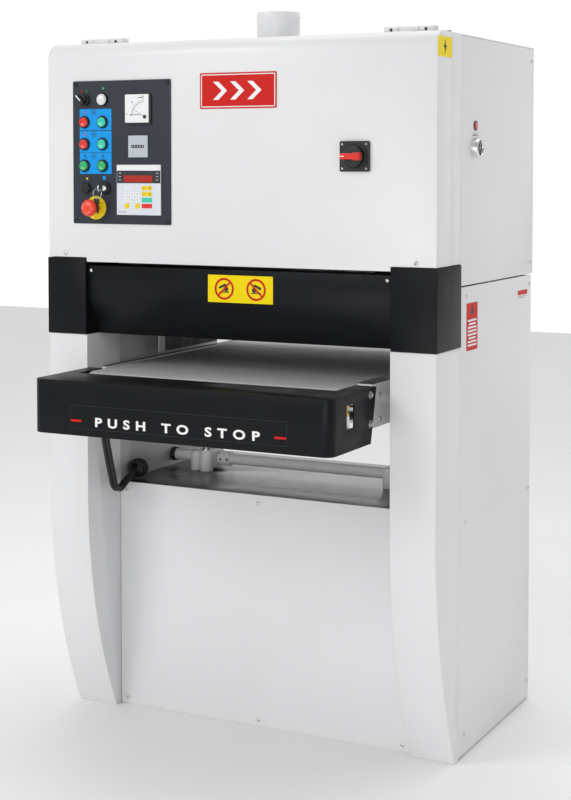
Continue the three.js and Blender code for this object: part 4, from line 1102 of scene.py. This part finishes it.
def make_drum():
    low, high, radius = LOW["contact_drum"].x, HIGH["contact_drum"].x, radius_of("contact_drum")
    shaft, face, core = 0.020, 0.320, radius - COVER
    steel = [(0, low), (shaft - 0.0015, low), (shaft, low + 0.0015), (shaft, -face + 0.004),
             (core, -face + 0.004), (core, face - 0.004), (shaft, face - 0.004), (shaft, PULLEY_X[0]),
             *pulley_profile(DRUM_PULLEY_R), (shaft, PULLEY_X[1]), (shaft, high - 0.0015),
             (shaft - 0.0015, high), (0, high)]
    turned("drum_core", STEEL, "contact_drum", steel, ["contact_drum"])
    cover = [(core + 0.0001, -face), (radius - 0.001, -face), (radius, -face + 0.001)]
    pitch, width, depth = 16 * MM, 3 * MM, 2.5 * MM
    for k in range(1, round(2 * face / pitch)):
        x = -face + pitch * k
        cover += [(radius, x - width / 2), (radius - depth, x - width / 2),
                  (radius - depth, x + width / 2), (radius, x + width / 2)]
    cover += [(radius, face - 0.001), (radius - 0.001, face), (core + 0.0001, face)]
    turned("drum_cover", DRUM_RUBBER, "contact_drum", cover, ring=True, steps=64)


def make_rollers():
    feed = (LOW["feed_belt"].x - 0.0005, HIGH["feed_belt"].x + 0.0005)
    for node, face, shaft in (("tension_roller", both(0.320), ROLLER_R),
                              ("pressure_roller_front", both(0.315), 0.008),
                              ("pressure_roller_rear", both(0.315), 0.008),
                              ("feed_roller_front", feed, ROLLER_R)):
        profile = roller_profile(radius_of(node), face, shaft, (LOW[node].x, HIGH[node].x))
        turned(node + "_steel", STEEL, node, profile, [node])
    node = "feed_roller_rear"
    radius = radius_of(node)
    core = radius - 0.004
    profile = roller_profile(core, feed, ROLLER_R, (LOW[node].x, HIGH[node].x))
    turned(node + "_core", STEEL, node, profile, [node])
    turned(node + "_cover", DRUM_RUBBER, node, [
        (core + 0.0001, feed[0]), (radius - 0.001, feed[0]), (radius, feed[0] + 0.001),
        (radius, feed[1] - 0.001), (radius - 0.001, feed[1]), (core + 0.0001, feed[1])], ring=True)


def belt(name, finish, body, node, rollers, sections):
    """A belt round two rollers, each (y, z, radius), with one or more strands side by side."""
    build(name, finish, body, [
        (endless, lambda height: around_two(*rollers, height), section) for section in sections], [node])


def make_belts():
    drum, idler, motor = ((0, MID[node].z, radius_of(node))
                          for node in ("contact_drum", "tension_roller", "motor_pulley"))
    half, clear, thick = HIGH["sanding_belt"].x, 0.6 * MM, 1.2 * MM
    section = [(-half, clear), (half, clear), (half, clear + thick), (-half, clear + thick)]
    belt("sanding_belt_loop", ABRASIVE, "root", "sanding_belt", (drum, idler), [section])
    front, rear = ((MID[node].y, MID[node].z, radius_of(node))
                   for node in ("feed_roller_front", "feed_roller_rear"))
    thick = HIGH["feed_belt"].z - front[1] - front[2] - clear
    left, right, edge = LOW["feed_belt"].x, HIGH["feed_belt"].x, 0.0015
    section = [(left, clear), (right, clear), (right, clear + 0.6 * thick), (right - edge, clear + thick),
               (left + edge, clear + thick), (left, clear + 0.6 * thick)]
    belt("feed_belt_loop", CONVEYOR, "feed_table", "feed_belt", (front, rear), [section])
    middle, foot, top = sum(PULLEY_X) / 2, 0.0032, 0.005
    vees = [[(x - foot, -0.007), (x + foot, -0.007), (x + top, 0.002), (x - top, 0.002)]
            for x in (middle + groove for groove in GROOVES)]
    driven = (0, MID["contact_drum"].z, DRUM_PULLEY_R)
    belt("drive_vee_belts", BLACK_RUBBER, "root", "drive_belt", (motor, driven), vees)


def make_motor_pulley():
    low, high, shaft, hub = LOW["motor_pulley"].x, HIGH["motor_pulley"].x, 0.019, 0.030
    left, right = PULLEY_X
    turned("motor_pulley_steel", STEEL, "motor_pulley", [
        (0, low), (shaft, low), (shaft, left - 0.006), (hub, left - 0.006), (hub, left),
        *pulley_profile(radius_of("motor_pulley")), (0.060, right), (0.056, right - 0.008),
        (hub, right - 0.008), (hub, right + 0.002), (shaft, right + 0.002),
        (shaft, high - 0.001), (shaft - 0.001, high), (0, high)], ["motor_pulley"])


def finned(bm, place, root, tip, count, w0, w1):
    """A round motor frame with fins that run along w."""
    outline = []
    for k in range(count):
        for radius, share in ((root, -0.36), (tip, -0.14), (tip, 0.14), (root, 0.36)):
            angle = math.tau * (k + share) / count
            outline.append((radius * math.cos(angle), radius * math.sin(angle)))
    prism(bm, place, outline, w0, w1)


def make_drive_motor():
    """Foot-mounted motor: finned frame between two shields, fan cowl and terminal box."""
    low, high = LOW["drive_motor"], HIGH["drive_motor"]
    radius, axis = HIGH["drive_motor"].y, MID["motor_pulley"].z
    place, floor = facing("right", 0, 0, axis), facing("top", 0, 0, 0)
    cowl_end, shield = low.x + 0.046, 0.016
    feet = [(slab, floor, (0.120, 0.330), y, (low.z, low.z + 0.012))
            for y in ((-0.100, -0.055), (0.055, 0.100))]
    legs = [(slab, floor, (0.125, 0.325), y, (low.z + 0.005, axis - 0.060))
            for y in ((-0.075, -0.060), (0.060, 0.075))]
    rear, front = cowl_end + shield, high.x - shield
    rear_shield = [(0, cowl_end), (0.96 * radius, cowl_end), (0.97 * radius, rear + 0.001), (0, rear + 0.001)]
    front_shield = [(0, front - 0.001), (0.98 * radius, front - 0.001), (0.95 * radius, high.x - 0.004),
                    (0.5 * radius, high.x - 0.003), (0.3 * radius, high.x), (0, high.x)]
    build("motor_frame", MOTOR_BLUE, "root", [
        (finned, place, 0.9 * radius, radius, 44, rear, front),
        (lathe, place, rear_shield, 56), (lathe, place, front_shield, 56), *feet, *legs,
    ], ["drive_motor"], bevel=0.0006)
    ribs = [(hoop, place, inner, inner + 0.007, low.x - 0.0006, low.x + 0.0015, 40)
            for inner in (0.012 + 0.014 * k for k in range(6))]
    build("motor_cowl", MOTOR_BLUE, "root", [
        (lathe, place, [(0, low.x), (0.86 * radius, low.x), (0.91 * radius, low.x + 0.006),
                        (0.925 * radius, low.x + 0.014), (0.925 * radius, cowl_end + 0.001),
                        (0, cowl_end + 0.001)], 56), *ribs], smooth=40)
    lid = facing("top", 0.235, 0, high.z)
    build("motor_terminal_box", MOTOR_BLUE, "root", [
        (slab, lid, both(0.053), both(0.043), (-0.060, -0.008), 0.006),
        (slab, lid, both(0.055), both(0.045), (-0.0085, 0), 0.007)], bevel=0.001)
    screws("motor_terminal_screws", corners(lid, 0.047, 0.037), 0.004)


def make_gearmotor():
    """Feed gearmotor at the back of the table: worm box, flange, finned motor and terminal box."""
    low, high, centre = LOW["feed_gearmotor"], HIGH["feed_gearmotor"], MID["feed_roller_rear"]
    motor_r, wall, floor = 0.045, 0.445, 0.790  # the worm box's outer wall and its floor
    motor = facing("top", high.x - motor_r, centre.y, 0)
    flange = facing("right", wall, centre.y, centre.z)
    build("gearmotor_case", MOTOR_BLUE, "feed_table", [
        (slab, facing("top", 0, 0, 0), (low.x, wall), (low.y, high.y), (floor, high.z), 0.010),
        (disc, flange, 0.032, -0.001, 0.004, 0.0015),
        (slab, motor, both(0.036), both(0.042), (floor - 0.012, floor + 0.001), 0.008),
    ], ["feed_gearmotor"], bevel=0.0015)
    screws("gearmotor_bolts", circle_of(flange, 0.025, 6, 0.004), 0.0034, body="feed_table")
    box = facing("back", high.x - motor_r, centre.y + motor_r, 0.715)
    build("gearmotor_motor", MOTOR_BLUE, "feed_table", [
        (finned, motor, 0.88 * motor_r, motor_r, 28, low.z + 0.038, floor - 0.014),
        (lathe, motor, [(0, low.z), (0.8 * motor_r, low.z), (0.95 * motor_r, low.z + 0.006),
                        (0.97 * motor_r, low.z + 0.040), (0, low.z + 0.040)], 40),
        (lathe, motor, [(0, floor - 0.016), (0.96 * motor_r, floor - 0.016), (0.96 * motor_r, floor - 0.011),
                        (0, floor - 0.011)], 40),
        (slab, box, both(0.026), both(0.028), (-0.012, 0.010), 0.005)], bevel=0.0007)


# ---- table lift --------------------------------------------------------------------------------------
def thread_profile(low, top, root=7.2 * MM, crest=9 * MM, pitch=4 * MM):
    """Trapezoidal thread from low to top."""
    profile = [(0, low), (root - 0.001, low), (root, low + 0.001)]
    for k in range(1, int((top - low) / pitch)):
        z = low + pitch * k
        profile += [(root, z), (crest, z + 0.15 * pitch), (crest, z + 0.5 * pitch), (root, z + 0.65 * pitch)]
    return profile + [(root, top)]


def make_jacks():
    for side in ("left", "right"):
        screw, case = "jack_screw_" + side, "jack_gearbox_" + side
        x, y, high = MID[screw].x, MID[screw].y, HIGH[screw].z
        flange = high - 0.0097
        profile = thread_profile(LOW[screw].z, flange)
        profile += [(0.0285, flange), (0.030, flange + 0.0015), (0.030, high), (0, high)]
        spun(screw + "_thread", STEEL, BODY_OF[screw], facing("top", x, y, 0), profile, 28,
             replaces=[screw], smooth=30)
        bolts = [facing("under", x + a, y + b, flange) for a in both(0.021) for b in both(0.0168)]
        screws(screw + "_bolts", bolts, 0.004, body=BODY_OF[screw])
        refine(case, CASTING, 0.0008)
        plug = [(0, -0.001), (0.0063, -0.001), (0.0063, 0.0022), (0.0053, 0.0032), (0.003, 0.0032),
                (0.003, 0.0012), (0, 0.0012)]
        build(case + "_steelwork", STEEL, "root", [
            (lathe, facing("top", x - 0.031, y, 0.618), plug, 28),
            (hoop, facing("top", x, y, HIGH[case].z), 0.0099, 0.0142, -0.0005, 0.0032, 32)], smooth=40)


def make_cross_shaft():
    """The shaft with a grooved collar at each gearbox, its wall ring and its set screws."""
    low, high = LOW["cross_shaft"].x, HIGH["cross_shaft"].x
    shaft, collar = 0.014, 0.019
    groove = collar - 0.0018
    collars = [MID["jack_screw_" + side].x + 0.024 for side in ("left", "right")]
    profile = [(0, low), (shaft, low)]
    for x in collars:
        end = x + 0.030
        profile += [(shaft, x), (collar - 0.001, x), (collar, x + 0.001), (collar, x + 0.011),
                    (groove, x + 0.0125), (groove, x + 0.0175), (collar, x + 0.019),
                    (collar, end - 0.001), (collar - 0.001, end), (shaft, end)]
    profile += [(shaft, high - 0.001), (shaft - 0.001, high), (0, high)]
    turned("cross_shaft_steel", CASTING, "cross_shaft", profile, ["cross_shaft"])
    turned("cross_shaft_wall_ring", BLACK_RUBBER, "cross_shaft", [
        (shaft + 0.0001, low), (0.018, low), (0.018, low + 0.010), (0.0165, low + 0.012),
        (shaft + 0.0001, low + 0.012)], ring=True)
    centre = MID["cross_shaft"]
    sockets = [facing("front", x + u, centre.y - collar + 0.0002, centre.z)
               for x in collars for u in (0.006, 0.025)]
    screws("cross_shaft_set_screws", sockets, 0.003, BLACK, "cross_shaft")


# ---- feed table and stop bar ---------------------------------------------------------------------------
def make_stop_bar_marks():
    """Plain words, a thin frame line round them and a red dash at each end."""
    place = facing("front", MID["stop_bar"].x, LOW["stop_bar"].y, 0.7835)
    words, lines = bmesh.new(), bmesh.new()
    lettering(words, place, "PUSH TO STOP", 0.0195, 0.0005, weight=0.0009, spacing=1.8, width=1.35)
    piece("stop_bar_words", words, LABEL_WHITE, "stop_bar")
    u, v, line, depth = (-0.276, 0.275), (-0.0155, 0.0365), both(0.0004), (-0.0001, 0.0003)
    for edge in v:
        slab(lines, shifted(place, 0, edge), u, line, depth)
    for edge in u:
        slab(lines, shifted(place, edge, 0), line, v, depth)
    piece("stop_bar_frame_lines", lines, SLATE, "stop_bar")
    build("stop_bar_dashes", LABEL_RED, "stop_bar", [
        (slab, shifted(place, u, 0.0015), both(0.014), both(0.0026), (0.0001, 0.0005)) for u in both(0.260)])


def make_stop_bar_fittings():
    """Guide pin, brass nut and side bolts in each cheek, and the table's side screws."""
    guide = [(0, 0.797), (0.0102, 0.797), (0.0108, 0.798), (0.0108, 0.825), (0.0098, 0.826), (0, 0.826)]
    nut = [(0, 0.826), (0.0108, 0.826), (0.0108, 0.833), (0.0076, 0.834), (0.0076, 0.842),
           (0.0112, 0.843), (0.0112, 0.850), (0, 0.850)]
    pin_y, bolt_y, screw_y = -0.5425, -0.443, -0.356
    for side, edges, outward in (("right", HIGH, 1), ("left", LOW, -1)):
        edge, table_side = edges["stop_bar"].x, edges["table_frame"].x
        pin = facing("top", edge - outward * 0.0155, pin_y, 0)
        spun(f"stop_bar_{side}_guide", WHITE_PLASTIC, "stop_bar", pin, guide, 28)
        spun(f"stop_bar_{side}_fitting", BRASS, "stop_bar", pin, nut, 6, bevel=0.0004)
        bolts = [facing(side, edge, bolt_y, z) for z in (0.860, 0.796)]
        screws(f"stop_bar_{side}_bolts", bolts, 0.009, body="stop_bar", tool=hex_bolt)
        table_screws = [facing(side, table_side, screw_y, z) for z in (0.848, 0.794)]
        screws(f"table_{side}_screws", table_screws, 0.0062, body="feed_table")


def make_throat_guards():
    """Black side curtains inside the throat, and the bracket plate in front of each."""
    for side, sign in (("right", 1), ("left", -1)):
        place = facing("right", sign * 0.375, 0, 0)
        build(f"throat_curtain_{side}", BLACK_RUBBER, "root", [
            (slab, place, (-0.075, 0.200), (0.880, 0.937), both(0.001), 0.002)])
        build(f"throat_bracket_{side}", TABLE_GREY, "root", [
            (slab, place, (-0.105, -0.076), (0.879, 0.984), both(0.0015), 0.002)], bevel=0.0004)


def make_table_shade_strips():
    """Black strips on top of the table's edge guards, beside the feed belt, as painted shade along the belt's
    edges.
    """
    frame_low, frame_high = LOW["table_frame"], HIGH["table_frame"]
    top = facing("top", 0, 0, frame_high.z)
    gaps = ((frame_low.x, LOW["feed_belt"].x - 0.0035), (HIGH["feed_belt"].x + 0.0035, frame_high.x))
    # Painted shade: black strips where the belt's edges fall in shadow
    build("table_painted_shade_strips", BLACK, "feed_table", [
        (slab, top, gap, (-0.394, frame_high.y - 0.001), (0.0001, 0.0009)) for gap in gaps])


def make_power_gland():
    gland = facing("back", MID["cable_gland"].x, HIGH["base_cabinet"].y, MID["cable_gland"].z)
    nut = [(0, 0.0003), (0.017, 0.0003), (0.017, 0.0085), (0.0155, 0.0095), (0, 0.0095)]
    mouth = [(0.0085, 0.0195), (0.0122, 0.0195), (0.0115, 0.0235), (0.0095, 0.026), (0.0085, 0.026)]
    build("power_gland", BLACK, "root", [
        (lathe, gland, nut, 6), (finned, gland, 0.0122, 0.0134, 20, 0.009, 0.020),
        (lathe, gland, mouth, 32, True), (disc, gland, 0.0086, 0.009, 0.0225)], ["cable_gland"], bevel=0.0005)


def make_dust_port():
    """Flanged tube with a rolled bead near its top."""
    port = facing("top", MID["dust_port"].x, MID["dust_port"].y, 0)
    base, seat, top = LOW["dust_port"].z, HIGH["head_cabinet"].z + 0.0003, HIGH["dust_port"].z
    inner, outer, flange, bead = 0.050, 0.0525, 0.068, 0.0541
    spun("dust_port_tube", WHITE, "root", port, [
        (inner, base), (outer, base), (outer, seat), (flange, seat), (flange, seat + 0.0028),
        (flange - 0.0008, seat + 0.0036), (outer + 0.002, seat + 0.0036), (outer, seat + 0.0055),
        (outer, top - 0.014), (bead, top - 0.012), (bead, top - 0.010), (outer, top - 0.008),
        (outer, top - 0.0006), (outer - 0.0006, top), (inner + 0.0006, top), (inner, top - 0.0006)],
        72, True, ["dust_port"], smooth=40)
    screws("dust_port_screws", circle_of(port, 0.0605, 4, seat + 0.0035, 0.5), 0.004)


def make_door_seal():
    bar = facing("top", 0.481, LOW["head_cabinet"].y + 0.006, HIGH["head_cabinet"].z)
    plate("door_seal", BLACK_RUBBER, "root", bar, 0.024, 0.004, (0.0001, 0.0035), bevel=0.0008)


def make_side_door_fittings():
    """Two quarter-turn locks and two lift-off hinges on the left door."""
    low, high = LOW["side_door"], HIGH["side_door"]
    levels = (low.z + 0.13, high.z - 0.13)
    locks = []
    for z in levels:
        lock = facing("left", low.x, low.y + 0.032, z)
        locks += [(disc, lock, 0.014, -0.0005, 0.0022, 0.001),
                  (slab, lock, both(0.0032), both(0.009), (0.002, 0.0036), 0.0025)]
    build("side_door_locks", BLACK, "side_door", locks)
    axis, knuckle = Vector(JOINT["side_door_hinge"]["pos_m"]), 0.027
    for name, body, steps in (("fixed", "root", (-1, 1)), ("moving", "side_door", (0,))):
        build("side_door_hinge_" + name, STEEL, body, [
            (disc, facing("top", axis.x, axis.y, z + step * knuckle), 0.0028, 0.0002, 0.0265, 0.0006, 20)
            for z in levels for step in steps])


def make_base_cabinet():
    """A steel deck and floor. The back is the same white sheet as the sides."""
    shell = refine("base_cabinet", DECK, 0.001)
    shell.data.materials.append(WHITE)
    for face in shell.data.polygons:
        if face.normal.y > 0.9 and face.center.y > HIGH["base_cabinet"].y - 0.001:
            face.material_index = 1


# ---- the whole machine ---------------------------------------------------------------------------------
make_camera()
make_cable()
make_floor()
make_lights()
make_sheets()
make_base_cabinet()
make_fasteners()
make_rear_cover()
make_control_panel()
make_isolator()
make_badge()
make_hood_label()
make_side_labels()
make_belt_lamp()
make_tension_gauge()
make_drum()
make_rollers()
make_belts()
make_motor_pulley()
make_drive_motor()
make_gearmotor()
make_jacks()
make_cross_shaft()
make_stop_bar_marks()
make_stop_bar_fittings()
make_throat_guards()
make_table_shade_strips()
make_power_gland()
make_dust_port()
make_door_seal()
make_side_door_fittings()
